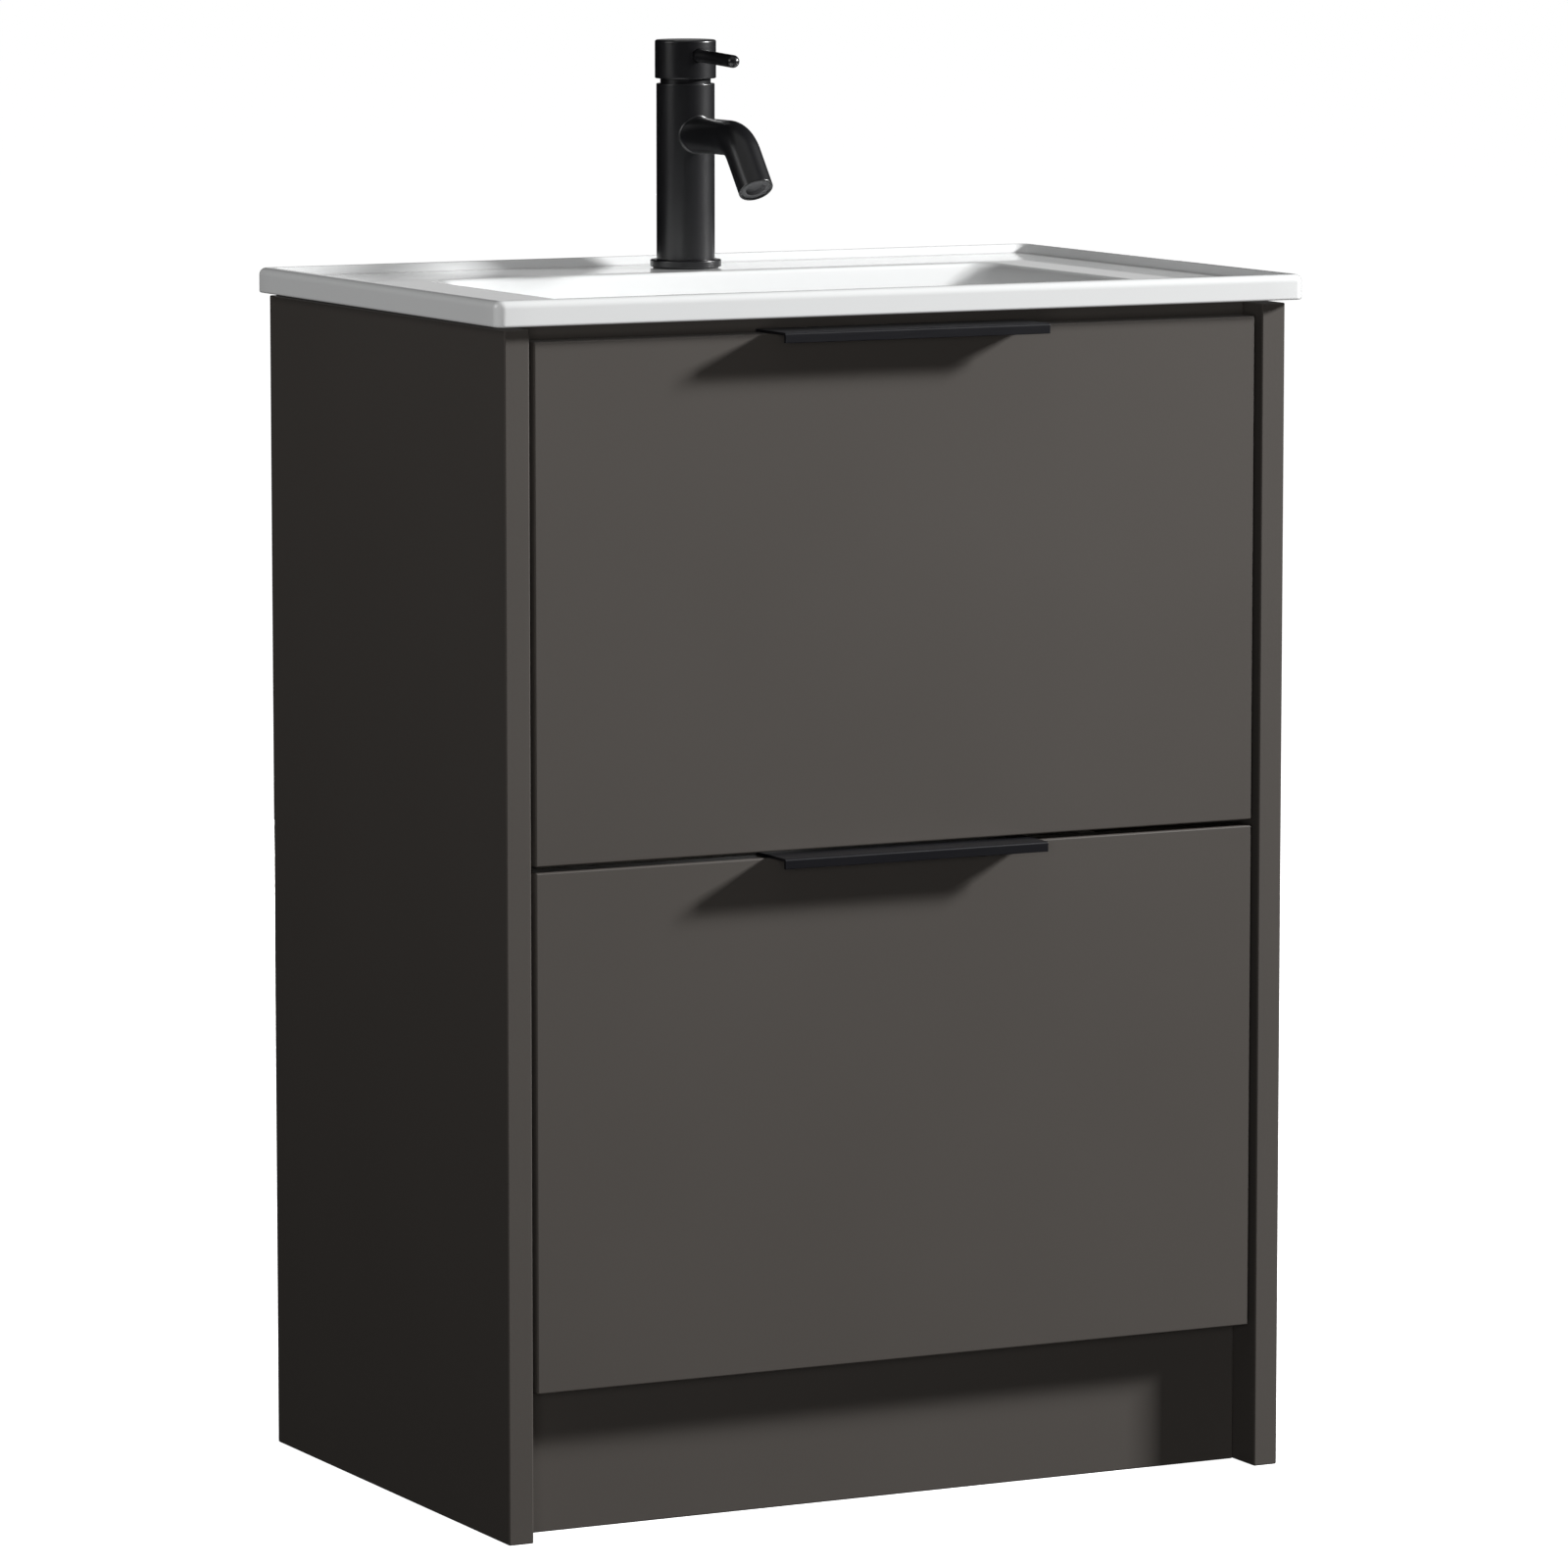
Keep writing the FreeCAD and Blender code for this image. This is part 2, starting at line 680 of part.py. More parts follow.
# ---------------------------------------------------------------- waste
def waste_body():
    """Flanged outlet with a threaded tail, a plain pipe and a three-ribbed guide for the stem."""
    top = Vec(0, waste_y, bowl_floor)
    tail_foot = Vec(0, waste_y, waste_tail_foot)
    pipe_foot = Vec(0, waste_y, waste_pipe_foot)
    flange = rod(top, Z, waste_flange_radius, waste_flange_height)
    flange = flange.makeFillet(waste_flange_edge_radius,
                               edges_at(flange, lambda box: box.ZMin > bowl_floor + rest_gap))
    tail = rod(tail_foot, Z, waste_tail_radius, bowl_floor - waste_tail_foot)
    pipe = rod(pipe_foot, Z, waste_pipe_radius, bowl_floor - waste_pipe_foot)
    chamber = rod(tail_foot + Z * waste_shoulder, Z, waste_bore_radius, bowl_depth)
    outlet = rod(pipe_foot, Z, waste_pipe_radius - waste_pipe_wall, bowl_depth)
    hub_foot = top - Z * (guide_top + guide_length)
    hub = rod(hub_foot, Z, guide_radius, guide_length)
    ribs = []
    for turn in range(3):
        rib = block((0, waste_bore_radius + 1), (-guide_rib / 2, guide_rib / 2), (0, guide_length))
        rib.rotate(Vec(0, 0, 0), Z, 120 * turn + 90)
        rib.translate(hub_foot)
        ribs.append(rib)
    stem_bore = rod(hub_foot, Z, stopper_stem_radius + running_clearance, guide_length)
    return flange.fuse([tail, pipe]).cut([chamber, outlet]).fuse([hub] + ribs).cut(stem_bore)


def waste_stopper():
    """Round plug on a stem, pressed up to open."""
    seat = Vec(0, waste_y, bowl_floor + waste_flange_height + rest_gap)
    cap = rod(seat, Z, stopper_radius, stopper_height)
    middle = seat.z + stopper_height / 2
    cap = cap.makeFillet(stopper_edge_radius, edges_at(cap, lambda box: box.ZMin > middle))
    return cap.fuse(rod(seat - Z * stopper_stem_length, Z, stopper_stem_radius, stopper_stem_length))


def waste_seal():
    return ring(Vec(0, waste_y, boss_bottom - waste_seal_height), Z, waste_seal_radius,
                waste_tail_radius, waste_seal_height)


def waste_nut():
    """Hexagonal back nut with a round bore that grips the tail."""
    foot = Vec(0, waste_y, boss_bottom - waste_seal_height - waste_nut_height)
    bore = rod(foot, Z, waste_tail_radius, waste_nut_height)
    corner = rod(foot, Z, waste_nut_radius, waste_nut_height)
    flat_radius = waste_nut_radius * math.cos(math.pi / 6) + 1
    return hexagon(foot, flat_radius, waste_nut_height).common(corner).cut(bore)


# ---------------------------------------------------------------- tap
def tap_point(y, height, x=0.0):
    """Point from the tap's axis: y forward is negative, height is above the deck."""
    return Vec(x, tap_y + y, deck + height)


def spout_path(start):
    """Level run, bend and sloping run of the spout, from a distance in front of the axis."""
    turn = math.radians(spout_bend_degrees)
    level_end = tap_point(-spout_level_length, spout_height)
    centre = level_end - Z * spout_bend_radius

    def on_bend(angle):
        return centre + Vec(0, -math.sin(angle), math.cos(angle)) * spout_bend_radius

    bend_end = on_bend(turn)
    slope = Vec(0, -math.cos(turn), -math.sin(turn))
    outlet = bend_end + slope * spout_end_length
    path = Part.Wire([
        Part.LineSegment(tap_point(-start, spout_height), level_end).toShape(),
        Part.Arc(level_end, on_bend(turn / 2), bend_end).toShape(),
        Part.LineSegment(bend_end, outlet).toShape(),
    ])
    return path, outlet, slope


def spout_solid(radius, start):
    path = spout_path(start)[0]
    circle = Part.Wire(Part.Circle(tap_point(-start, spout_height), Y * -1, radius).toShape())
    return path.makePipeShell([circle], True, True)


def tap_body():
    """Upright body and spout in one piece, bored for the cartridge, the water and the inlets."""
    column = rod(tap_point(0, tap_ring_top), Z, tap_body_radius, tap_body_top - tap_ring_top)
    column = column.makeFillet(0.6, edges_at(column, lambda box: box.ZMin > deck + tap_body_top - 1))
    spigot = rod(tap_point(0, -tap_spigot_length), Z, tap_spigot_radius, tap_spigot_length + tap_ring_top)
    solid = column.fuse([spigot, spout_solid(spout_radius, 0)])
    cavity = rod(tap_point(0, cartridge_floor), Z, cartridge_radius + cartridge_clearance, cartridge_length)
    thread = rod(tap_point(0, cartridge_seat), Z, cartridge_nut_radius, tap_body_top)
    path, outlet, slope = spout_path(0)
    aerator_seat = rod(outlet, slope * -1, aerator_radius, aerator_length + aerator_recess)
    solid = solid.cut([cavity, thread, spout_solid(spout_bore_radius, 0), aerator_seat])
    foot = -tap_spigot_length
    for way in (-1, 1):
        mouth = tap_point(-inlet_ahead, foot, way * inlet_half_spacing)
        solid = solid.cut(rod(mouth, Z, inlet_radius, inlet_depth))
        solid = solid.cut(rod(mouth, Z, inlet_bore_radius, cartridge_floor - foot + 1))
    return solid.cut(rod(tap_point(stud_behind, foot), Z, stud_radius, stud_in_body))


def tap_base_ring():
    band = ring(tap_point(0, tap_seal_height), Z, tap_ring_radius, tap_spigot_radius,
                tap_ring_top - tap_seal_height)
    return band.makeFillet(0.8, edges_at(band, lambda box: box.XLength > 2 * tap_spigot_radius + 1
                                         and box.ZMin > deck + tap_ring_top - 0.5))


def tap_base_seal():
    return ring(tap_point(0, 0), Z, tap_seal_radius, tap_spigot_radius, tap_seal_height)


def tap_aerator():
    """Threaded insert in the spout's mouth with a bored outlet and a mesh disc behind it."""
    path, outlet, slope = spout_path(0)
    face = outlet - slope * aerator_recess
    insert = rod(face, slope * -1, aerator_radius, aerator_length)
    return insert.cut(rod(face, slope * -1, aerator_radius - aerator_rim, aerator_length / 3))


def tap_cartridge():
    foot = rod(tap_point(0, cartridge_floor), Z, cartridge_foot_radius, cartridge_foot_length)
    case = rod(tap_point(0, cartridge_floor + cartridge_foot_length), Z, cartridge_radius,
               cartridge_length - cartridge_foot_length)
    collar_height = tap_body_top + cartridge_collar_top - cartridge_seat
    collar = rod(tap_point(0, cartridge_seat), Z, cartridge_collar_radius, collar_height)
    bore = rod(tap_point(0, cartridge_seat - spindle_in_cartridge), Z, spindle_radius + running_clearance,
               spindle_in_cartridge + tap_body_top)
    return foot.fuse([case, collar]).cut(bore)


def tap_cartridge_nut():
    """Ring nut that holds the cartridge; its plain upper half is the neck under the head."""
    nut = ring(tap_point(0, cartridge_seat), Z, cartridge_nut_radius,
               cartridge_collar_radius + cartridge_clearance, cartridge_nut_depth + cartridge_nut_rise)
    return nut.makeFillet(cartridge_nut_edge_radius,
                          edges_at(nut, lambda box: box.ZMin > deck + tap_body_top
                                   and box.XLength > 2 * cartridge_collar_radius + 1))


def tongue_limits():
    """Front and back of the tongue and of the lugs on either side of it."""
    middle = tap_y + pivot_set_back
    return middle - tongue_radius, middle + tongue_radius


def tap_spindle():
    """Turning spindle of the cartridge, with a drilled tongue that the head tilts on."""
    foot = cartridge_seat - spindle_in_cartridge + rest_gap
    top = tap_body_top + cartridge_collar_top + spindle_above_collar
    stem = rod(tap_point(0, foot), Z, spindle_radius, top - foot)
    half = tongue_thickness / 2
    tongue = block((-half, half), tongue_limits(), (deck + top - 1, deck + pivot_height))
    crown = rod(tap_point(pivot_set_back, pivot_height, -half), X, tongue_radius, tongue_thickness)
    hole = rod(tap_point(pivot_set_back, pivot_height, -half), X, pivot_pin_radius + running_clearance,
               tongue_thickness)
    return stem.fuse([tongue, crown]).cut(hole)


def pin_half_length():
    return tongue_thickness / 2 + rest_gap + lug_thickness


def tap_pivot_pin():
    half = pin_half_length()
    return rod(tap_point(pivot_set_back, pivot_height, -half), X, pivot_pin_radius, 2 * half)


def tap_lever():
    """Slim rod with a round end and a spigot that is let into the head."""
    droop = math.radians(lever_droop_degrees)
    along = Vec(0, -math.cos(droop), -math.sin(droop))
    root = tap_point(-tap_head_radius + lever_seat_depth, head_top - lever_root_below_head_top)
    length = (lever_reach - tap_head_radius + lever_seat_depth) / math.cos(droop) - lever_radius
    shaft = rod(root, along, lever_radius, length)
    tip = Part.makeSphere(lever_radius, root + along * length)
    spigot_length = tap_head_wall - lever_seat_depth - 0.3
    spigot = rod(root - along * spigot_length, along, lever_spigot_radius, spigot_length)
    return shaft.fuse([tip, spigot])


def tap_head(lever, pin):
    """Cap over the cartridge, with two lugs inside that carry the pivot pin."""
    cap = rod(tap_point(0, head_bottom), Z, tap_head_radius, tap_head_height)
    middle = deck + head_bottom + tap_head_height / 2
    cap = cap.makeFillet(tap_head_top_radius, edges_at(cap, lambda box: box.ZMin > middle))
    cap = cap.makeFillet(tap_head_lower_radius, edges_at(cap, lambda box: box.ZMax < middle))
    ceiling = head_top - tap_head_roof
    hollow = rod(tap_point(0, head_bottom), Z, head_hollow_radius, ceiling - head_bottom)
    skirt = rod(tap_point(0, head_bottom), Z, head_skirt_radius, tap_skirt_depth)
    cap = cap.cut([hollow, skirt])
    inner = tongue_thickness / 2 + rest_gap
    lugs = []
    for way in (-1, 1):
        lugs.append(block((way * inner, way * (inner + lug_thickness)), tongue_limits(),
                          (deck + pivot_height - lug_below_pivot, deck + ceiling + 1)))
    return cap.fuse(lugs).cut([lever, pin])


def tap_stud():
    foot = rim_bottom - deck - stud_below_basin
    return rod(tap_point(stud_behind, foot), Z, stud_radius, stud_in_body - tap_spigot_length - foot)


def tap_clamp_washer():
    """Horseshoe plate under the basin, open at the front for the two supply tails."""
    top = rim_bottom - deck
    centre = tap_point(0, top - clamp_washer_thickness)
    plate = rod(centre, Z, clamp_washer_radius, clamp_washer_thickness)
    slot = block((-clamp_slot_half_width, clamp_slot_half_width),
                 (tap_y - clamp_washer_radius, tap_y + clamp_slot_end), (centre.z, rim_bottom))
    hole = rod(tap_point(stud_behind, top - clamp_washer_thickness), Z, stud_radius, clamp_washer_thickness)
    return plate.cut([slot, hole])


def tap_clamp_nut():
    foot = rim_bottom - deck - clamp_washer_thickness - clamp_nut_length
    nut = hexagon(tap_point(stud_behind, foot), clamp_nut_flat_radius, clamp_nut_length)
    return nut.cut(rod(tap_point(stud_behind, foot), Z, stud_radius, clamp_nut_length))


# ---------------------------------------------------------------- assembly
def drawer_nodes(level):
    """Every node of one drawer, without its pull's and runners' other halves."""
    screws = drawer_screws(level)
    nodes = {
        level + "_drawer_front": drawer_front(level, screws),
        level + "_pull": pull(level, screws),
        level + "_drawer_bottom": box_bottom(level),
        level + "_drawer_screws": Part.makeCompound(screws),
    }
    for name, side in SIDES.items():
        nodes[level + "_drawer_" + name + "_side"] = box_side(level, side, screws)
    inside = box_half - box_wall
    if level == "upper":
        recess = recess_width / 2 + recess_wall
        for name, side in SIDES.items():
            nodes["upper_drawer_" + name + "_back"] = box_rear(level, (side * recess, side * inside))
        nodes["upper_drawer_recess"] = plumbing_recess()
    else:
        nodes["lower_drawer_back"] = box_rear(level, (-inside, inside))
    return nodes


def runner_nodes():
    nodes = {}
    for level in DRAWERS:
        for name, side in SIDES.items():
            members = runner(level, side)
            for part, shape in zip(("cabinet", "middle", "drawer"), members):
                nodes[level + "_" + name + "_" + part + "_runner"] = shape
        nodes[level + "_ball_cages"] = ball_cages(level)
    return nodes


def carcass_nodes():
    discs, bolts, dowels, holes = carcass_joints()
    runner_screws = cabinet_runner_screws()
    nodes = {name: carcass_board(name, holes[name]) for name in CARCASS_BOARDS}
    for name, side in SIDES.items():
        nodes[name + "_side_panel"] = side_panel(side, bolts + dowels + runner_screws[name])
    nodes["cam_discs"] = Part.makeCompound(discs)
    nodes["cam_bolts"] = Part.makeCompound(bolts)
    nodes["dowels"] = Part.makeCompound(dowels)
    nodes["runner_screws"] = Part.makeCompound(runner_screws["left"] + runner_screws["right"])
    return nodes


def basin_nodes():
    return {
        "ceramic_basin": basin(),
        "basin_sealant": sealant(),
        "waste_body": waste_body(),
        "waste_seal": waste_seal(),
        "waste_nut": waste_nut(),
        "waste_stopper": waste_stopper(),
    }


def tap_nodes():
    lever, pin = tap_lever(), tap_pivot_pin()
    return {
        "tap_base_ring": tap_base_ring(),
        "tap_base_seal": tap_base_seal(),
        "tap_body": tap_body(),
        "tap_aerator": tap_aerator(),
        "tap_cartridge": tap_cartridge(),
        "tap_cartridge_nut": tap_cartridge_nut(),
        "tap_spindle": tap_spindle(),
        "tap_pivot_pin": pin,
        "tap_head": tap_head(lever, pin),
        "tap_lever": lever,
        "tap_stud": tap_stud(),
        "tap_clamp_washer": tap_clamp_washer(),
        "tap_clamp_nut": tap_clamp_nut(),
    }


def main():
    nodes = carcass_nodes()
    nodes.update(runner_nodes())
    for level in DRAWERS:
        nodes.update(drawer_nodes(level))
    nodes.update(basin_nodes())
    nodes.update(tap_nodes())
    os.makedirs("parts", exist_ok=True)
    for name, shape in nodes.items():
        shape.exportStep("parts/" + name + ".step")


main()
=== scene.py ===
import math

import bmesh
import bpy
import numpy as np
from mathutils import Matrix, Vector
from mathutils.geometry import tessellate_polygon


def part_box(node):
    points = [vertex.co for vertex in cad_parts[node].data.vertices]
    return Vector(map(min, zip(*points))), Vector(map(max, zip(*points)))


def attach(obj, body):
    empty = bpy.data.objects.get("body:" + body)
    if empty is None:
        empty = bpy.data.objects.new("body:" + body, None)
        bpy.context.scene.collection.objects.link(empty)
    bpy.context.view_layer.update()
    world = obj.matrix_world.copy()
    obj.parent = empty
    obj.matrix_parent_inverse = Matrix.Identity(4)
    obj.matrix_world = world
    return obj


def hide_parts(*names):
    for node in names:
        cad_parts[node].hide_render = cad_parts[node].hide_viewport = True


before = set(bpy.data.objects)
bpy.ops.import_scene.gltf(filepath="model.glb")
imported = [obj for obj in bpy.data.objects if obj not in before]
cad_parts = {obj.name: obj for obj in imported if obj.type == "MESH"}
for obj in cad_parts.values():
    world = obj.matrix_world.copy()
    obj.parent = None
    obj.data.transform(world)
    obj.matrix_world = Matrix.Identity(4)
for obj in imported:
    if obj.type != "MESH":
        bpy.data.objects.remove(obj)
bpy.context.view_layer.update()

# Floor-standing bathroom vanity: a grey-brown cabinet with two drawers, a thin-edged ceramic basin
# and a matt black single-lever tap.  Metres.  +X is the right-hand side seen from the front, +Y
# points at the wall behind and +Z up.

MM = 0.001

# ---------------------------------------------------------------- sizes of the new surfaces
weld_distance = 2e-6
shading_hold = 0.25 * MM         # a row of points this near an edge keeps the flat beside it flat

rim_corner_radius = 7.0 * MM
rim_least_radius = 0.2 * MM
rim_flat = 6.0 * MM              # level stretch of the rim's outline at both ends
rim_edge_radius = 5.0 * MM
rim_lower_radius = 1.5 * MM
rim_height = 17.4 * MM
lip_height = 6.0 * MM
lip_width = 8.0 * MM
lip_slope = 5.0 * MM
lip_inner_radius = 1.6 * MM
lip_foot_radius = 3.0 * MM
bowl_end_margin = 85.0 * MM
bowl_front_margin = 64.0 * MM
bowl_back_margin = 102.0 * MM
bowl_corner_radius = 18.0 * MM
bowl_depth = 110.0 * MM
bowl_end_inset = 100.0 * MM
bowl_side_inset = 12.0 * MM
bowl_floor_blend = 26.0 * MM
bowl_end_power = 0.75
bowl_mouth_radius = 3.0 * MM
bowl_wall = 9.0 * MM
waste_hole_radius = 22.0 * MM
waste_hole_edge = 1.0 * MM
waste_hole_radii = (0.6 * MM, 0.5 * MM)
boss_margin = 4.0 * MM
boss_edge_radius = 1.0 * MM
tap_hole_radius = 17.5 * MM
tap_hole_half_patch = 36.0 * MM

tap_body_radius = 20.5 * MM
tap_ring_radius = 25.0 * MM
tap_spigot_radius = 16.0 * MM
tap_body_top = 129.5 * MM        # heights above the deck
tap_ring_top = 6.0 * MM
tap_ring_foot = 1.0 * MM
tap_ring_seam = 2.5 * MM         # where the ring's outline starts and ends, on its inner wall
tap_spigot_foot = -9.0 * MM
tap_nut_radius = 17.75 * MM
tap_nut_seat = 123.5 * MM
tap_cavity_radius = 15.1 * MM
tap_cavity_floor = 83.5 * MM
tap_foot_radii = (0.2 * MM, 0.3 * MM)     # corners of an outline, in its own order
tap_crown_radii = (0.7 * MM, 0.3 * MM, 0.2 * MM, 0.2 * MM, 0.5 * MM)
tap_ring_radii = (0.2 * MM, 0.5 * MM, 1.0 * MM, 0.3 * MM)
spout_height = 94.0 * MM
spout_radius = 12.25 * MM
spout_level = 68.0 * MM
spout_bend_radius = 30.0 * MM
spout_bend = math.radians(51)
spout_run = 30.0 * MM
spout_fillet = 1.8 * MM
spout_mouth_radii = (0.6 * MM, 0.4 * MM, 0.3 * MM)
spout_mouth_length = 2.0 * MM
aerator_radius = 10.5 * MM
aerator_seat = 9.0 * MM
inlet_radius = 4.6 * MM
inlet_bore_radius = 3.5 * MM
inlet_depth = 12.0 * MM
inlet_bore_depth = 18.0 * MM
inlet_half_spacing = 7.6 * MM
inlet_ahead = 5.0 * MM
stud_radius = 4.0 * MM
stud_behind = 9.5 * MM
stud_depth = 14.0 * MM
head_radius = 21.5 * MM
head_bottom = 133.0 * MM
head_top = 160.0 * MM
head_top_radius = 1.5 * MM
head_lower_radii = (0.8 * MM, 0.4 * MM, 0.4 * MM, 0.4 * MM, 0.5 * MM)
head_skirt_radius = 19.3 * MM
head_skirt_depth = 7.0 * MM
head_hollow_radius = 16.0 * MM
head_roof = 8.0 * MM
lever_radius = 4.5 * MM
lever_reach = 79.0 * MM
lever_droop = math.radians(2.5)
lever_below_top = 10.4 * MM
lever_seat = 2.0 * MM
lever_seat_edge = 0.35 * MM
lever_seat_play = 0.05 * MM
lever_seat_slope = 0.3 * MM
lever_root_edge = 0.3 * MM
lever_band_half_height = 6.5 * MM

pull_thickness = 2.0 * MM
pull_outer_bend = 1.5 * MM
pull_inner_bend = 0.3 * MM
pull_edge = 0.35 * MM
pull_lip = 5.0 * MM

plug_stem_radius = 4.0 * MM
plug_thickness = 4.6 * MM
plug_crown = 0.5 * MM
plug_edge_radius = 1.8 * MM
plug_seat_radius = 0.4 * MM
plug_edge_width = 2.5 * MM

# ---------------------------------------------------------------- how finely they are divided
turn_segments = 96
bore_segments = 32
straight_steps = 12              # from a corner of the basin to the tap hole's patch
patch_steps = 16
corner_steps = 12
side_steps = 24
deck_steps = 16
tap_hole_steps = 8
bowl_mouth_steps = 12
bowl_wall_steps = 25
bowl_bend_steps = 14
bowl_floor_steps = 14
shell_wall_steps = 15
shell_floor_steps = 10
tube_segments = 96
band_steps = 24
band_hole_steps = 9
spout_fillet_steps = 8
spout_level_steps = 12
spout_bend_steps = 24
spout_run_steps = 7
lever_segments = 48
lever_shank_steps = 11
lever_end_steps = 12
plug_dome_steps = 11

# ---------------------------------------------------------------- places taken from the frame
basin_low, basin_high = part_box("ceramic_basin")
rim_top = basin_high.z
rim_bottom = rim_top - rim_height
deck = rim_top - lip_height
basin_half = basin_high.x
basin_front, basin_back = basin_low.y, basin_high.y
bowl_half = basin_half - bowl_end_margin
bowl_front = basin_front + bowl_front_margin
bowl_back = basin_back - bowl_back_margin
bowl_floor = deck - bowl_depth
boss_bottom = basin_low.z
waste_low, waste_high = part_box("waste_body")
waste_y = (waste_low.y + waste_high.y) / 2
boss_radius = waste_high.x + boss_margin
ring_low, ring_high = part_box("tap_base_ring")
tap_y = (ring_low.y + ring_high.y) / 2


# ---------------------------------------------------------------- surfaces
def rounded(corners, radii, steps=8):
    """Open outline with round corners.

    At a corner whose sides meet at twice the angle h, an arc of radius r starts r / tan(h) along
    one side, ends as far along the other and turns about the point r / sin(h) along the bisector.
    """
    corners = np.asarray(corners, float)
    share = np.linspace(0, 1, steps + 1)[:, None]
    runs = [corners[:1]]
    for before, corner, after, radius in zip(corners, corners[1:], corners[2:], radii):
        back = (before - corner) / np.linalg.norm(before - corner)
        ahead = (after - corner) / np.linalg.norm(after - corner)
        half = 0.5 * math.acos(float(back @ ahead))
        centre = corner + (back + ahead) / np.linalg.norm(back + ahead) * radius / math.sin(half)
        reach = radius / math.tan(half)
        first, last = corner + back * reach - centre, corner + ahead * reach - centre
        turn = math.pi - 2 * half
        arc = (np.sin((1 - share) * turn) * first + np.sin(share * turn) * last) / math.sin(turn)
        runs += [(corner + back * (reach + shading_hold))[None], centre + arc,
                 (corner + ahead * (reach + shading_hold))[None]]
    return np.concatenate(runs + [corners[-1:]])


def turned(profile, centre, segments=turn_segments):
    """Surface of revolution: the profile's point (r, z) at the angle a lies at (r cos a, r sin a, z)."""
    angle = np.linspace(0, 2 * math.pi, segments + 1)
    radius, height = np.asarray(profile, float).T[..., None]
    return np.stack([centre[0] + radius * np.cos(angle), centre[1] + radius * np.sin(angle),
                     centre[2] + height + 0 * angle], axis=-1)


def between(first, last, steps, ease=1.0):
    """Rows from one curve to another: (1 - s) first + s last, with s = t ** ease for even t."""
    share = np.linspace(0, 1, steps + 1)[:, None, None] ** ease
    return (1 - share) * first + share * last


def flat_with_holes(outer, holes):
    """Triangles of a flat face between an outer loop and the loops of its holes."""
    loops = [loop[:-1] for loop in [outer, *holes]]
    points = np.concatenate(loops)
    corners = tessellate_polygon([loop.tolist() for loop in loops])
    return points, np.array(corners)


# ---------------------------------------------------------------- pieces
def new_piece(name, grids, slot, body, stands_for, faces=(), sharp=None, bevel=None):
    """One mesh object whose surface is a set of point grids, joined where their edges meet.

    Neighbouring points of a grid, (i, j), (i, j + 1), (i + 1, j + 1) and (i + 1, j), are a face.
    Edges that bend by more than sharp degrees stay sharp, and bevel is a radius put on them.
    """
    points, corners, sizes, first = [], [], [], 0
    for grid in grids:
        rows, columns = grid.shape[:2]
        corner = first + (np.arange(rows - 1)[:, None] * columns + np.arange(columns - 1)).ravel()
        quads = np.stack([corner, corner + 1, corner + columns + 1, corner + columns], axis=1)
        points.append(grid.reshape(-1, 3))
        corners.append(quads.ravel())
        sizes.append(np.full(len(quads), 4))
        first += rows * columns
    for vertices, triangles in faces:
        points.append(vertices)
        corners.append(triangles.ravel() + first)
        sizes.append(np.full(len(triangles), 3))
        first += len(vertices)
    points, corners, sizes = (np.concatenate(part) for part in (points, corners, sizes))
    starts = np.concatenate([[0], np.cumsum(sizes)[:-1]])
    mesh = bpy.data.meshes.new(name)
    mesh.vertices.add(len(points))
    mesh.vertices.foreach_set("co", points.astype(np.float32).ravel())
    mesh.loops.add(len(corners))
    mesh.loops.foreach_set("vertex_index", corners.astype(np.int32))
    mesh.polygons.add(len(sizes))
    mesh.polygons.foreach_set("loop_start", starts.astype(np.int32))
    mesh.update(calc_edges=True)
    work = bmesh.new()
    work.from_mesh(mesh)
    bmesh.ops.remove_doubles(work, verts=work.verts, dist=weld_distance)
    bmesh.ops.recalc_face_normals(work, faces=work.faces)
    work.to_mesh(mesh)
    work.free()
    mesh.shade_smooth()
    if sharp is not None:
        mesh.set_sharp_from_angle(angle=math.radians(sharp))
    mesh.materials.append(finishes[slot])
    piece = bpy.data.objects.new(name, mesh)
    bpy.context.scene.collection.objects.link(piece)
    if bevel is not None:
        edge = piece.modifiers.new("rounded_edges", "BEVEL")
        edge.width = bevel
        edge.segments = 3
        edge.limit_method = "ANGLE"
        edge.harden_normals = True
    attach(piece, body)
    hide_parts(*stands_for)


# ---------------------------------------------------------------- materials
class Signal:
    """A value that varies over a surface; arithmetic on it adds the Math nodes."""

    def __init__(self, finish, socket):
        self.finish = finish
        self.socket = socket

    def math(self, operation, first, second):
        """One Math node on two values or signals."""
        return self.finish.node("ShaderNodeMath", {"operation": operation}, {0: first, 1: second})

    def __add__(self, other):
        return self.math("ADD", self, other)

    def __radd__(self, other):
        return self.math("ADD", other, self)

    def __sub__(self, other):
        return self.math("SUBTRACT", self, other)

    def __rsub__(self, other):
        return self.math("SUBTRACT", other, self)

    def __mul__(self, other):
        return self.math("MULTIPLY", self, other)

    def __rmul__(self, other):
        return self.math("MULTIPLY", other, self)


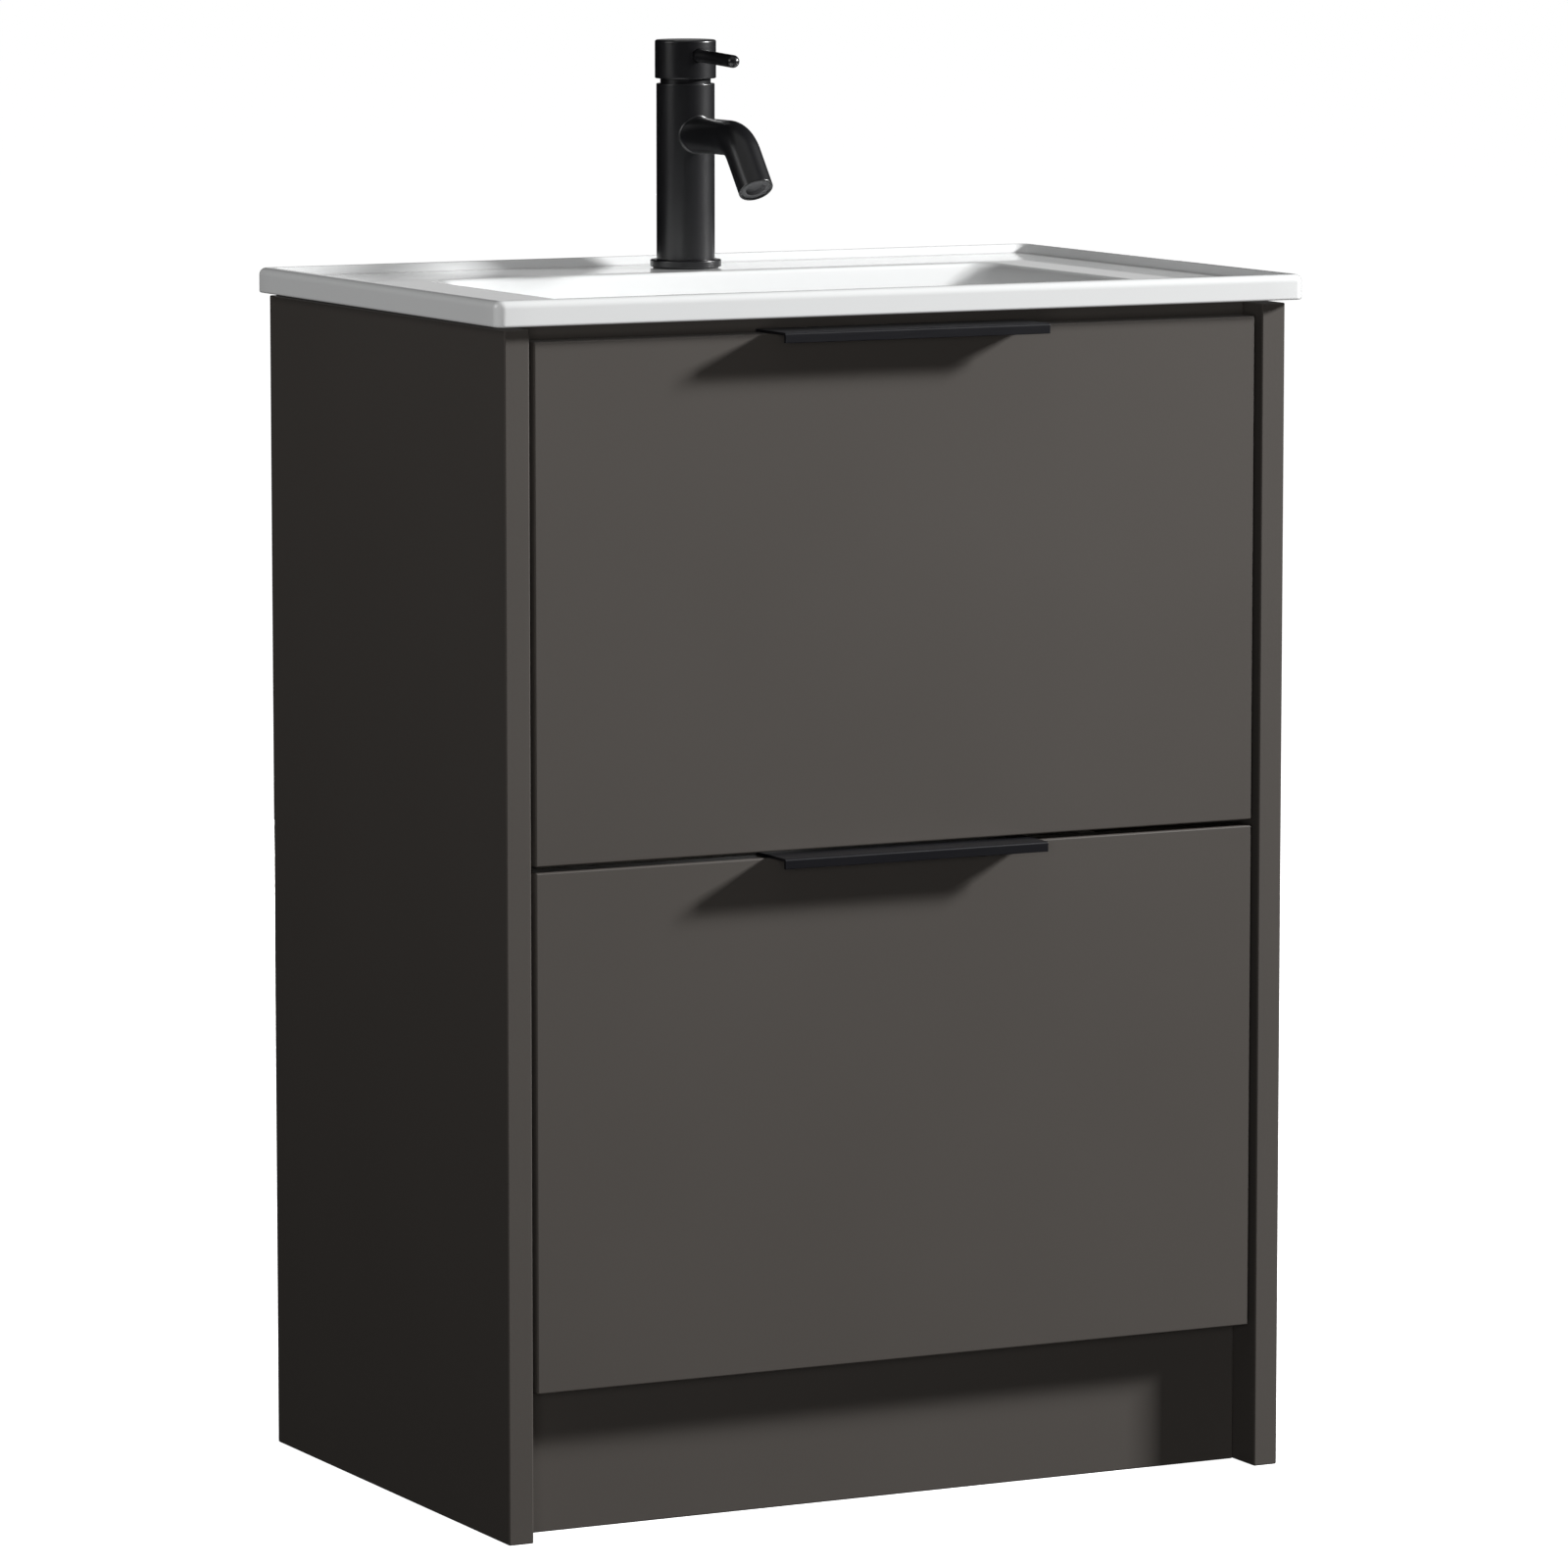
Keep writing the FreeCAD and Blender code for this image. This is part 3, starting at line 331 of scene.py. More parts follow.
class Finish:
    """A material; constants go straight onto its shader, and what varies is fed to it."""

    def __init__(self, name, **constants):
        self.material = bpy.data.materials.new(name)
        self.material.use_nodes = True
        self.tree = self.material.node_tree
        self.shader = self.tree.nodes["Principled BSDF"]
        for key, value in constants.items():
            self.shader.inputs[key.replace("_", " ")].default_value = value

    def node(self, kind, settings=(), inputs=(), output=0):
        """Any node: its settings are set first, then its sockets get values or links."""
        node = self.tree.nodes.new(kind)
        for key, value in dict(settings).items():
            if key == "stops":
                for stop, (position, level) in zip(node.color_ramp.elements, value):
                    stop.position = position
                    stop.color = (level, level, level, 1)
            else:
                setattr(node, key, value)
        for key, value in dict(inputs).items():
            if isinstance(value, Signal):
                self.tree.links.new(value.socket, node.inputs[key])
            else:
                node.inputs[key].default_value = value
        return Signal(self, node.outputs[output])

    def place(self, stretch=(1, 1, 1), turn=(0, 0, 0)):
        """Object coordinates, turned and stretched."""
        coordinates = self.node("ShaderNodeTexCoord", output=3)
        return self.node("ShaderNodeMapping", {}, {0: coordinates, 2: turn, 3: stretch})

    def noise(self, place, scale, detail=2.0, roughness=0.5, distortion=0.0):
        """Cloudy pattern around one half; a larger scale is finer."""
        return self.node("ShaderNodeTexNoise", {}, {"Vector": place, "Scale": scale, "Detail": detail,
                                                   "Roughness": roughness, "Distortion": distortion})

    def cells(self, place, scale):
        """Distance to the nearest of many scattered points."""
        return self.node("ShaderNodeTexVoronoi", {}, {"Vector": place, "Scale": scale})

    def bands(self, place, scale, distortion):
        """Level stripes one above another, made uneven by the distortion."""
        return self.node("ShaderNodeTexWave", {"bands_direction": "Z"},
                         {"Vector": place, "Scale": scale, "Distortion": distortion})

    def ramp(self, value, low, high):
        """0 below low, 1 above high, a straight line between."""
        return self.node("ShaderNodeValToRGB", {"stops": ((low, 0.0), (high, 1.0))}, {0: value})

    def colour(self, first, second, share):
        """Base Color between two colours, by a share that varies."""
        mixed = self.node("ShaderNodeMix", {"data_type": "RGBA"},
                          {0: share, 6: (*first, 1), 7: (*second, 1)}, output=2)
        self.feed("Base Color", mixed)

    def feed(self, socket, value):
        """Links a signal to one of the shader's sockets."""
        self.tree.links.new(value.socket, self.shader.inputs[socket])

    def relief(self, height, depth, strength=1.0):
        """Bump of a height from 0 to 1, depth metres deep."""
        self.feed("Normal", self.node("ShaderNodeBump", {}, {"Strength": strength, "Distance": depth,
                                                            "Height": height}))


def shade(colour, factor):
    """A colour made darker or lighter by a factor."""
    return tuple(channel * factor for channel in colour)


LACQUER = (0.0965, 0.0868, 0.0785)
LAMINATE = (0.105, 0.094, 0.084)
DRAWER_GREY = (0.34, 0.325, 0.305)
LINER_GREY = (0.26, 0.26, 0.255)
GLAZE = (0.80, 0.811, 0.811)
COATED_BLACK = (0.0095, 0.0095, 0.0108)
ANODISED_BLACK = (0.0055, 0.0055, 0.008)
BRIGHT_ZINC = (0.66, 0.68, 0.71)
CAST_ZINC = (0.50, 0.51, 0.53)
CHROME = (0.86, 0.87, 0.89)
BRASS = (0.78, 0.58, 0.27)
STEEL = (0.62, 0.62, 0.63)
BEECH_LIGHT = (0.66, 0.46, 0.28)
BEECH_DARK = (0.45, 0.28, 0.15)


def matt_lacquer():
    """Sprayed matt lacquer: faint clouds in the colour, a fine orange peel, an uneven sheen."""
    finish = Finish("matt_lacquer", Specular_IOR_Level=0.42)
    place = finish.place()
    clouds = finish.noise(place, 5.0, 3.0)
    specks = finish.noise(place, 1400.0, 1.0)
    peel = finish.noise(place, 520.0, 1.5, 0.6)
    finish.colour(shade(LACQUER, 0.95), shade(LACQUER, 1.05), clouds * 0.65 + specks * 0.35)
    finish.feed("Roughness", 0.40 + clouds * 0.08 + specks * 0.05)
    finish.relief(peel, 0.05 * MM, 0.5)
    return finish.material


def printed_laminate():
    """Matt laminate with a short pressed grain that runs along the boards."""
    finish = Finish("printed_laminate", Specular_IOR_Level=0.4)
    place = finish.place((0.12, 1.0, 1.0))
    grain = finish.noise(place, 700.0, 3.0, 0.65)
    clouds = finish.noise(finish.place(), 6.0, 2.0)
    finish.colour(shade(LAMINATE, 0.90), shade(LAMINATE, 1.08), grain * 0.6 + clouds * 0.4)
    finish.feed("Roughness", 0.46 + grain * 0.14)
    finish.relief(grain, 0.08 * MM, 0.6)
    return finish.material


def linen_laminate():
    """Drawer board foil with a woven look: two sets of fine threads crossing."""
    finish = Finish("linen_laminate", Specular_IOR_Level=0.4)
    across = finish.noise(finish.place((0.06, 1.0, 1.0)), 1100.0, 2.0)
    upright = finish.noise(finish.place((1.0, 1.0, 0.06)), 1100.0, 2.0)
    lengthwise = finish.noise(finish.place((1.0, 0.06, 1.0)), 1100.0, 2.0)
    weave = (across + upright + lengthwise) * (1 / 3)
    clouds = finish.noise(finish.place(), 9.0, 2.0)
    finish.colour(shade(DRAWER_GREY, 0.82), shade(DRAWER_GREY, 1.12), finish.ramp(weave, 0.36, 0.64))
    finish.feed("Roughness", 0.44 + weave * 0.12 + clouds * 0.06)
    finish.relief(weave, 0.10 * MM, 0.7)
    return finish.material


def spark_textured_plastic():
    """Moulded liner: an eroded mould texture with flow marks."""
    finish = Finish("spark_textured_plastic", Specular_IOR_Level=0.45)
    place = finish.place()
    grains = finish.cells(place, 900.0)
    flow = finish.noise(finish.place((1.0, 1.0, 0.3)), 14.0, 3.0, 0.55, 0.6)
    finish.colour(shade(LINER_GREY, 0.9), shade(LINER_GREY, 1.08), flow)
    finish.feed("Roughness", 0.42 + grains * 0.12 + flow * 0.08)
    finish.relief(grains, 0.06 * MM, 0.5)
    return finish.material


def fluted_beech():
    """Beech pegs: growth bands along the peg with short dark flecks."""
    finish = Finish("fluted_beech", Specular_IOR_Level=0.35)
    bands = finish.bands(finish.place((0.05, 1.0, 1.0)), 220.0, 4.0)
    flecks = finish.noise(finish.place((0.1, 1.0, 1.0)), 2600.0, 2.0)
    finish.colour(BEECH_DARK, BEECH_LIGHT, bands * 0.6 + flecks * 0.4)
    finish.feed("Roughness", 0.55 + flecks * 0.2)
    finish.relief(flecks, 0.05 * MM, 0.6)
    return finish.material


def cast_zinc():
    """Die-cast zinc: mottled, with a grainy skin."""
    finish = Finish("cast_zinc", Metallic=0.75)
    place = finish.place()
    mottle = finish.noise(place, 320.0, 3.0)
    skin = finish.noise(place, 1800.0, 2.0)
    finish.colour(shade(CAST_ZINC, 0.82), shade(CAST_ZINC, 1.1), mottle)
    finish.feed("Roughness", 0.36 + skin * 0.16 + mottle * 0.06)
    finish.relief(skin, 0.03 * MM, 0.6)
    return finish.material


def plated_steel():
    """Bright zinc plate on rolled strip: streaks along the strip and a faint spangle."""
    finish = Finish("plated_steel", Metallic=0.72)
    streaks = finish.noise(finish.place((1.0, 0.03, 1.0)), 1500.0, 2.0)
    spangle = finish.cells(finish.place(), 160.0)
    finish.colour(shade(BRIGHT_ZINC, 0.86), shade(BRIGHT_ZINC, 1.08), streaks * 0.7 + spangle * 0.3)
    finish.feed("Roughness", 0.36 + streaks * 0.14 + spangle * 0.06)
    finish.relief(streaks, 0.015 * MM, 0.5)
    return finish.material


def black_anodised():
    """Satin black anodised aluminium, brushed along its length."""
    finish = Finish("black_anodised", Specular_IOR_Level=0.35)
    brushing = finish.noise(finish.place((0.02, 1.0, 1.0)), 2200.0, 2.0)
    clouds = finish.noise(finish.place(), 22.0, 2.0)
    finish.colour(shade(ANODISED_BLACK, 0.85), shade(ANODISED_BLACK, 1.2), brushing * 0.6 + clouds * 0.4)
    finish.feed("Roughness", 0.36 + brushing * 0.10 + clouds * 0.05)
    finish.relief(brushing, 0.012 * MM, 0.5)
    return finish.material


def white_glaze_painted_glow():
    """Fired glaze over white clay: nearly even white, very slightly wavy, under a clear gloss, with a
    faint painted glow that lightens it.
    """
    # The emission is painted light: a faint glow that brightens the glaze where the lamps leave it in
    # shade.
    finish = Finish("white_glaze_painted_glow", Coat_Weight=1.0, Coat_Roughness=0.035, Coat_IOR=1.52,
                    Specular_IOR_Level=0.3, Emission_Color=(1, 1, 1, 1), Emission_Strength=0.12)
    place = finish.place()
    tint = finish.noise(place, 7.0, 2.0)
    body = finish.noise(place, 900.0, 2.0)
    ripple = finish.noise(place, 26.0, 1.0)
    finish.colour(shade(GLAZE, 0.985), shade(GLAZE, 1.01), tint * 0.7 + body * 0.3)
    finish.feed("Roughness", 0.26 + body * 0.10)
    finish.relief(ripple, 0.10 * MM, 0.35)
    return finish.material


def silicone_bead_and_painted_shade():
    """Tooled silicone: smooth, slightly rippled along the bead; its near-black colour is partly dark
    silicone and partly painted shade for the shadow line under the rim.
    """
    finish = Finish("silicone_bead_and_painted_shade", Specular_IOR_Level=0.45)
    ripple = finish.noise(finish.place(), 140.0, 2.0)
    # Near-black: the bead's own dark silicone, also painted shade standing in for the shadow under the
    # rim's overhang.
    finish.colour((0.022, 0.022, 0.022), (0.04, 0.04, 0.04), ripple)
    finish.feed("Roughness", 0.34 + ripple * 0.16)
    finish.relief(ripple, 0.15 * MM, 0.6)
    return finish.material


def seal_rubber():
    """Moulded rubber with a dusty bloom."""
    finish = Finish("seal_rubber", Specular_IOR_Level=0.4)
    bloom = finish.noise(finish.place(), 260.0, 3.0)
    finish.colour((0.018, 0.018, 0.018), (0.042, 0.042, 0.042), bloom)
    finish.feed("Roughness", 0.55 + bloom * 0.25)
    finish.relief(bloom, 0.05 * MM, 0.5)
    return finish.material


def polished_chrome():
    """Chrome plate: hairline wiping marks and the faintest swell of the polish."""
    finish = Finish("polished_chrome", Metallic=0.78)
    wiping = finish.noise(finish.place((1.0, 0.05, 1.0), (0, 0, 0.6)), 1700.0, 2.0)
    swell = finish.noise(finish.place(), 60.0, 1.0)
    finish.colour(shade(CHROME, 0.96), shade(CHROME, 1.02), wiping)
    finish.feed("Roughness", 0.14 + wiping * 0.08)
    finish.relief(swell, 0.02 * MM, 0.3)
    return finish.material


def turned_brass():
    """Machined brass: fine tool marks that follow the height, and dull patches."""
    finish = Finish("turned_brass", Metallic=0.8)
    marks = finish.bands(finish.place(), 1400.0, 0.4)
    dull = finish.noise(finish.place(), 130.0, 3.0)
    finish.colour(shade(BRASS, 0.8), shade(BRASS, 1.08), 1 - dull)
    finish.feed("Roughness", 0.20 + dull * 0.16 + marks * 0.05)
    finish.relief(marks, 0.01 * MM, 0.6)
    return finish.material


def coated_black():
    """Matt black coating on brass: a fine powder texture that breaks up the sheen."""
    finish = Finish("coated_black", Specular_IOR_Level=0.75)
    place = finish.place()
    powder = finish.noise(place, 2400.0, 2.0, 0.6)
    clouds = finish.noise(place, 40.0, 2.0)
    finish.colour(shade(COATED_BLACK, 0.88), shade(COATED_BLACK, 1.15), clouds * 0.5 + powder * 0.5)
    finish.feed("Roughness", 0.25 + powder * 0.08 + clouds * 0.04)
    finish.relief(powder, 0.02 * MM, 0.5)
    return finish.material


def dark_moulded_plastic():
    """Dark plastic of the outlet insert, with a fine mould grain."""
    finish = Finish("dark_moulded_plastic", Specular_IOR_Level=0.5)
    grain = finish.noise(finish.place(), 1500.0, 2.0)
    finish.colour((0.09, 0.09, 0.095), (0.15, 0.15, 0.155), grain)
    finish.feed("Roughness", 0.30 + grain * 0.18)
    finish.relief(grain, 0.02 * MM, 0.5)
    return finish.material


def pale_moulded_plastic():
    """Off-white plastic of the cartridge, a little uneven in tone."""
    finish = Finish("pale_moulded_plastic", Specular_IOR_Level=0.5)
    flow = finish.noise(finish.place(), 90.0, 3.0)
    finish.colour((0.66, 0.66, 0.62), (0.80, 0.80, 0.77), flow)
    finish.feed("Roughness", 0.32 + flow * 0.14)
    finish.relief(flow, 0.02 * MM, 0.4)
    return finish.material


def ground_steel():
    """Ground stainless pin with grinding marks round it."""
    finish = Finish("ground_steel", Metallic=1.0)
    marks = finish.noise(finish.place((1.0, 0.08, 0.08)), 3000.0, 2.0)
    finish.colour(shade(STEEL, 0.88), shade(STEEL, 1.06), marks)
    finish.feed("Roughness", 0.18 + marks * 0.14)
    finish.relief(marks, 0.01 * MM, 0.5)
    return finish.material


finishes = {
    "lacquered_board": matt_lacquer(),
    "carcass_board": printed_laminate(),
    "drawer_board": linen_laminate(),
    "recess_plastic": spark_textured_plastic(),
    "beech": fluted_beech(),
    "zinc": cast_zinc(),
    "plated_steel": plated_steel(),
    "black_aluminium": black_anodised(),
    "glazed_ceramic": white_glaze_painted_glow(),
    "sealant": silicone_bead_and_painted_shade(),
    "seal_rubber": seal_rubber(),
    "bright_chrome": polished_chrome(),
    "brass": turned_brass(),
    "black_tap": coated_black(),
    "aerator_plastic": dark_moulded_plastic(),
    "cartridge_plastic": pale_moulded_plastic(),
    "pin_steel": ground_steel(),
}


def finish_frame_nodes():
    """Every node of the frame gets the finish of its own material slot."""
    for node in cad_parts.values():
        for place in node.material_slots:
            place.material = finishes[place.material.name.split(".")[0]]


# ---------------------------------------------------------------- basin
def rectangle_rows(half, front, back, radius, height):
    """Level rectangles with round corners, one row for each set of limits.

    A row runs along the back from right to left, down the left side, along the front and up the
    right side.  The straights keep fixed points at the tap hole's patch, so rows meet there.
    """
    half, front, back, radius, height = (value[:, None] for value in
                                         np.broadcast_arrays(half, front, back, radius, height))
    pin = tap_hole_half_patch
    outer = np.linspace(0, 1, straight_steps + 1)[None]
    end = half - radius
    flat = 0 * end
    to_pin = end + (pin - end) * outer
    middle = flat + pin * np.linspace(1, -1, patch_steps + 1)[None, 1:-1]
    along = np.concatenate([to_pin, middle, -to_pin[:, ::-1]], axis=1)
    quarter = np.linspace(0, math.pi / 2, corner_steps + 1)[None, 1:-1]
    side = (back - radius) + (front - back + 2 * radius) * np.linspace(0, 1, side_steps + 1)[None]
    x = np.concatenate([along, -end - radius * np.sin(quarter), -half + 0 * side,
                        -end - radius * np.cos(quarter), -along, end + radius * np.sin(quarter),
                        half + 0 * side, end + radius * np.cos(quarter), end], axis=1)
    y = np.concatenate([back + 0 * along, back - radius + radius * np.cos(quarter), side,
                        front + radius - radius * np.sin(quarter), front + 0 * along,
                        front + radius - radius * np.cos(quarter), side[:, ::-1],
                        back - radius + radius * np.sin(quarter), back], axis=1)
    return np.stack([x, y, height + 0 * x], axis=-1)


def rim_rows(profile):
    """Rows of the basin's rim; the profile holds pairs of inset and height.

    With p rising from 0 at the edge's radius to 1 at the lip's inner side, the corners' radius is
    the outer radius less the inset, times 1 - p, plus the outer radius times p.
    """
    inset, height = profile.T
    pocket = np.clip((inset - rim_edge_radius) / (lip_width - rim_edge_radius), 0, 1)
    radius = np.maximum(rim_corner_radius - inset, rim_least_radius) * (1 - pocket)
    radius += rim_corner_radius * pocket
    return rectangle_rows(basin_half - inset, basin_front + inset, basin_back - inset, radius, height)


def bowl_rows(depth, grow, drop):
    """Rows of the bowl at depths below the deck.

    With s = depth / full depth and b the floor's blend, the ends lean in by 100 mm times s to the
    power 0.75, plus b, and the sides by 12 mm times s, plus b.  The blend is a quarter circle of
    26 mm at the floor, and the mouth opens out by a quarter circle of its own small radius.
    """
    share = depth / bowl_depth
    over = np.clip((depth - bowl_depth + bowl_floor_blend) / bowl_floor_blend, 0, 1)
    blend = bowl_floor_blend * (1 - np.sqrt(1 - over ** 2))
    mouth = np.clip(1 - depth / bowl_mouth_radius, 0, 1) if grow == 0 else 0 * depth
    flare = bowl_mouth_radius * (1 - np.sqrt(1 - mouth ** 2))
    end = bowl_end_inset * share ** bowl_end_power + blend - grow - flare
    side = bowl_side_inset * share + blend - grow - flare
    return rectangle_rows(bowl_half - end, bowl_front + side, bowl_back - side,
                          bowl_corner_radius + side + grow, deck - depth - drop * share)


def to_circle(row, radius, centre, steps):
    """Rows from an outline to a circle about centre; each point keeps its direction from it."""
    offset = row[:, :2] - np.asarray(centre[:2])
    reach = np.linalg.norm(offset, axis=1, keepdims=True)
    round_row = np.concatenate([centre[:2] + offset / reach * radius, np.full((len(row), 1), centre[2])],
                               axis=1)
    return between(row, round_row, steps, 0.8)


def patch_with_hole(rows, columns, centre, radius):
    """Replaces a block of a grid by rows that run from the block's outline to a round hole.

    The outline goes along the first row, down the last column, back along the last row and up the
    first column, and each of its points runs straight towards the hole's centre.
    """
    block = rows[:, columns]
    outline = np.concatenate([block[0], block[1:, -1], block[-1, -2::-1], block[-2::-1, 0]])
    return to_circle(outline, radius, centre, tap_hole_steps)


def ceramic_basin():
    """Slab with a raised lip, a bowl, a tap hole and a waste hole.

    Rows of rectangles with round corners make the rim, the bowl and its underside, and rows that
    run from a rectangle to a circle make the bowl's floor and the shell under it.  Two seams are
    left open underneath: the hole's rows end past the corner where the boss's rows start, and the
    boss takes its directions from the floor, which aren't quite the shell's.
    """
    rim_inside = lip_width + lip_slope + rim_flat
    rim = rounded([(rim_inside, rim_bottom), (0, rim_bottom), (0, rim_top), (lip_width, rim_top),
                   (lip_width + lip_slope, deck), (rim_inside, deck)],
                  [rim_lower_radius, rim_edge_radius, lip_inner_radius, lip_foot_radius], 7)
    rim_surface = rim_rows(rim)
    mouth = np.linspace(0, 1, bowl_mouth_steps + 1) ** 2 * bowl_mouth_radius
    bend_start = bowl_depth - bowl_floor_blend
    walls = np.linspace(bowl_mouth_radius, bend_start, bowl_wall_steps + 1)
    quarter = np.linspace(0, math.pi / 2, bowl_bend_steps + 1)
    bend = bowl_depth - bowl_floor_blend * (1 - np.sin(quarter))
    inside = bowl_rows(np.concatenate([mouth, walls[1:], bend[1:]]), 0.0, 0.0)
    under = np.linspace(rim_height - lip_height, bend_start, shell_wall_steps + 1)
    outside = bowl_rows(np.concatenate([under, bend[1:]]), bowl_wall, bowl_wall)
    outside[0, :, 2] = rim_bottom
    waste = (0.0, waste_y, bowl_floor)
    floor = to_circle(inside[-1], waste_hole_radius + waste_hole_edge, waste, bowl_floor_steps)
    hole = rounded([(waste_hole_radius + waste_hole_edge, bowl_floor), (waste_hole_radius, bowl_floor),
                    (waste_hole_radius, boss_bottom), (boss_radius, boss_bottom)],
                   waste_hole_radii, 4)
    shell_floor = outside[-1, 0, 2]
    boss = rounded([(waste_hole_radius, boss_bottom), (boss_radius, boss_bottom),
                    (boss_radius, shell_floor)], [boss_edge_radius], 4)
    shell = to_circle(outside[-1], boss_radius, (0.0, waste_y, shell_floor), shell_floor_steps)
    direction = floor[-1, :, :2] - np.array([0.0, waste_y])
    direction /= np.linalg.norm(direction, axis=1, keepdims=True)

    def round_rows(profile):
        """Rows about the waste that keep the directions of the floor's points."""
        rows = profile[:, None, :1] * direction[None] + np.array([0.0, waste_y])
        return np.concatenate([rows, np.repeat(profile[:, None, 1:], len(direction), axis=1)], axis=2)

    patch_last = straight_steps + patch_steps
    patch = slice(straight_steps, patch_last + 1)
    surfaces = [rim_surface, inside, outside, floor, shell, round_rows(hole[:-1]), round_rows(boss)]
    circles = []
    slab_faces = ((rim_surface[-1], inside[0], deck), (rim_surface[0], outside[0], rim_bottom))
    for outer, inner, height in slab_faces:
        rows = between(outer, inner, deck_steps)
        surfaces += [rows[:, :straight_steps + 1], rows[:, patch_last:]]
        hole_rows = patch_with_hole(rows, patch, (0.0, tap_y, height), tap_hole_radius)
        surfaces.append(hole_rows)
        circles.append(hole_rows[-1])
    surfaces.append(between(circles[0], circles[1], 3))
    new_piece("basin", surfaces, "glazed_ceramic", "cabinet", ["ceramic_basin"])


# ---------------------------------------------------------------- tap
band_half_angle = math.radians(60)
band_half_height = 20.0 * MM
column_angles = np.radians(np.arange(-60, 301, 5))


def on_column(angle, height, radius):
    """Point of an upright cylinder; the angle is measured from the front."""
    radius, angle, height = np.broadcast_arrays(radius, angle, height)
    return np.stack([radius * np.sin(angle), tap_y - radius * np.cos(angle), deck + height], axis=-1)


def column_rows(profile):
    """Profile of radius and height turned about the tap's axis, in steps of 5 degrees."""
    radius, height = np.asarray(profile, float).T[..., None]
    return on_column(column_angles, height, radius)


def saddle(radius, hole_radius, height, angle):
    """Where a level tube from the front, centred at a height, meets the column.

    At x = hole radius times sin a, the point lies ahead of the axis by the square root of radius
    squared less x squared, and above the tube's centre by the hole radius times cos a.
    """
    x = hole_radius * np.sin(angle)
    y = tap_y - np.sqrt(radius ** 2 - x ** 2)
    return np.stack([x, y, deck + height + hole_radius * np.cos(angle)], axis=-1)


tube_angles = np.radians(np.linspace(-45, 315, tube_segments + 1))


def pierced_band(radius, low, high, hole_height, hole_radius):
    """Stretch of the column between two heights with a round hole at the front.

    The front block's outline, in angle and height, runs inwards to the hole's outline in a
    straight line, and every row is then wrapped round the column.
    """
    span = np.linspace(-1, 1, band_steps + 1)
    across, upright = span * band_half_angle, np.linspace(high, low, band_steps + 1)
    outline = np.concatenate([
        np.stack([across, high + 0 * across], axis=1),
        np.stack([band_half_angle + 0 * span, upright], axis=1)[1:],
        np.stack([-across, low + 0 * across], axis=1)[1:],
        np.stack([-band_half_angle + 0 * span, upright[::-1]], axis=1)[1:]])
    hole = np.stack([np.arcsin(hole_radius * np.sin(tube_angles) / radius),
                     hole_height + hole_radius * np.cos(tube_angles)], axis=1)
    rows = between(outline, hole, band_hole_steps)
    front = on_column(rows[..., 0], rows[..., 1], radius)
    behind = column_angles[column_angles > band_half_angle - 1e-6]
    back = on_column(behind[None], upright[:, None], radius)
    return [front, back]


def along_spout(distance):
    """Centre and slope of the spout: level, then a bend, then a sloping run.

    In the bend of radius R the slope is t = distance past the level part / R, and the centre is
    R sin t further ahead and R (1 - cos t) lower than where the bend starts.
    """
    bend_length = spout_bend_radius * spout_bend
    turn = np.clip((distance - spout_level) / spout_bend_radius, 0, spout_bend)
    level = np.minimum(distance, spout_level)
    run = np.maximum(distance - spout_level - bend_length, 0)
    y = tap_y - level - spout_bend_radius * np.sin(turn) - run * np.cos(turn)
    z = deck + spout_height - spout_bend_radius * (1 - np.cos(turn)) - run * np.sin(turn)
    return y, z, turn


def spout_rows(distance, radius):
    """Rings about the spout's centre line, one for each distance and radius."""
    y, z, turn = (value[:, None] for value in along_spout(np.asarray(distance, float)))
    radius = np.asarray(radius, float)[:, None]
    across, above = radius * np.sin(tube_angles), radius * np.cos(tube_angles)
    return np.stack([across + 0 * y, y - above * np.sin(turn), z + above * np.cos(turn)], axis=-1)


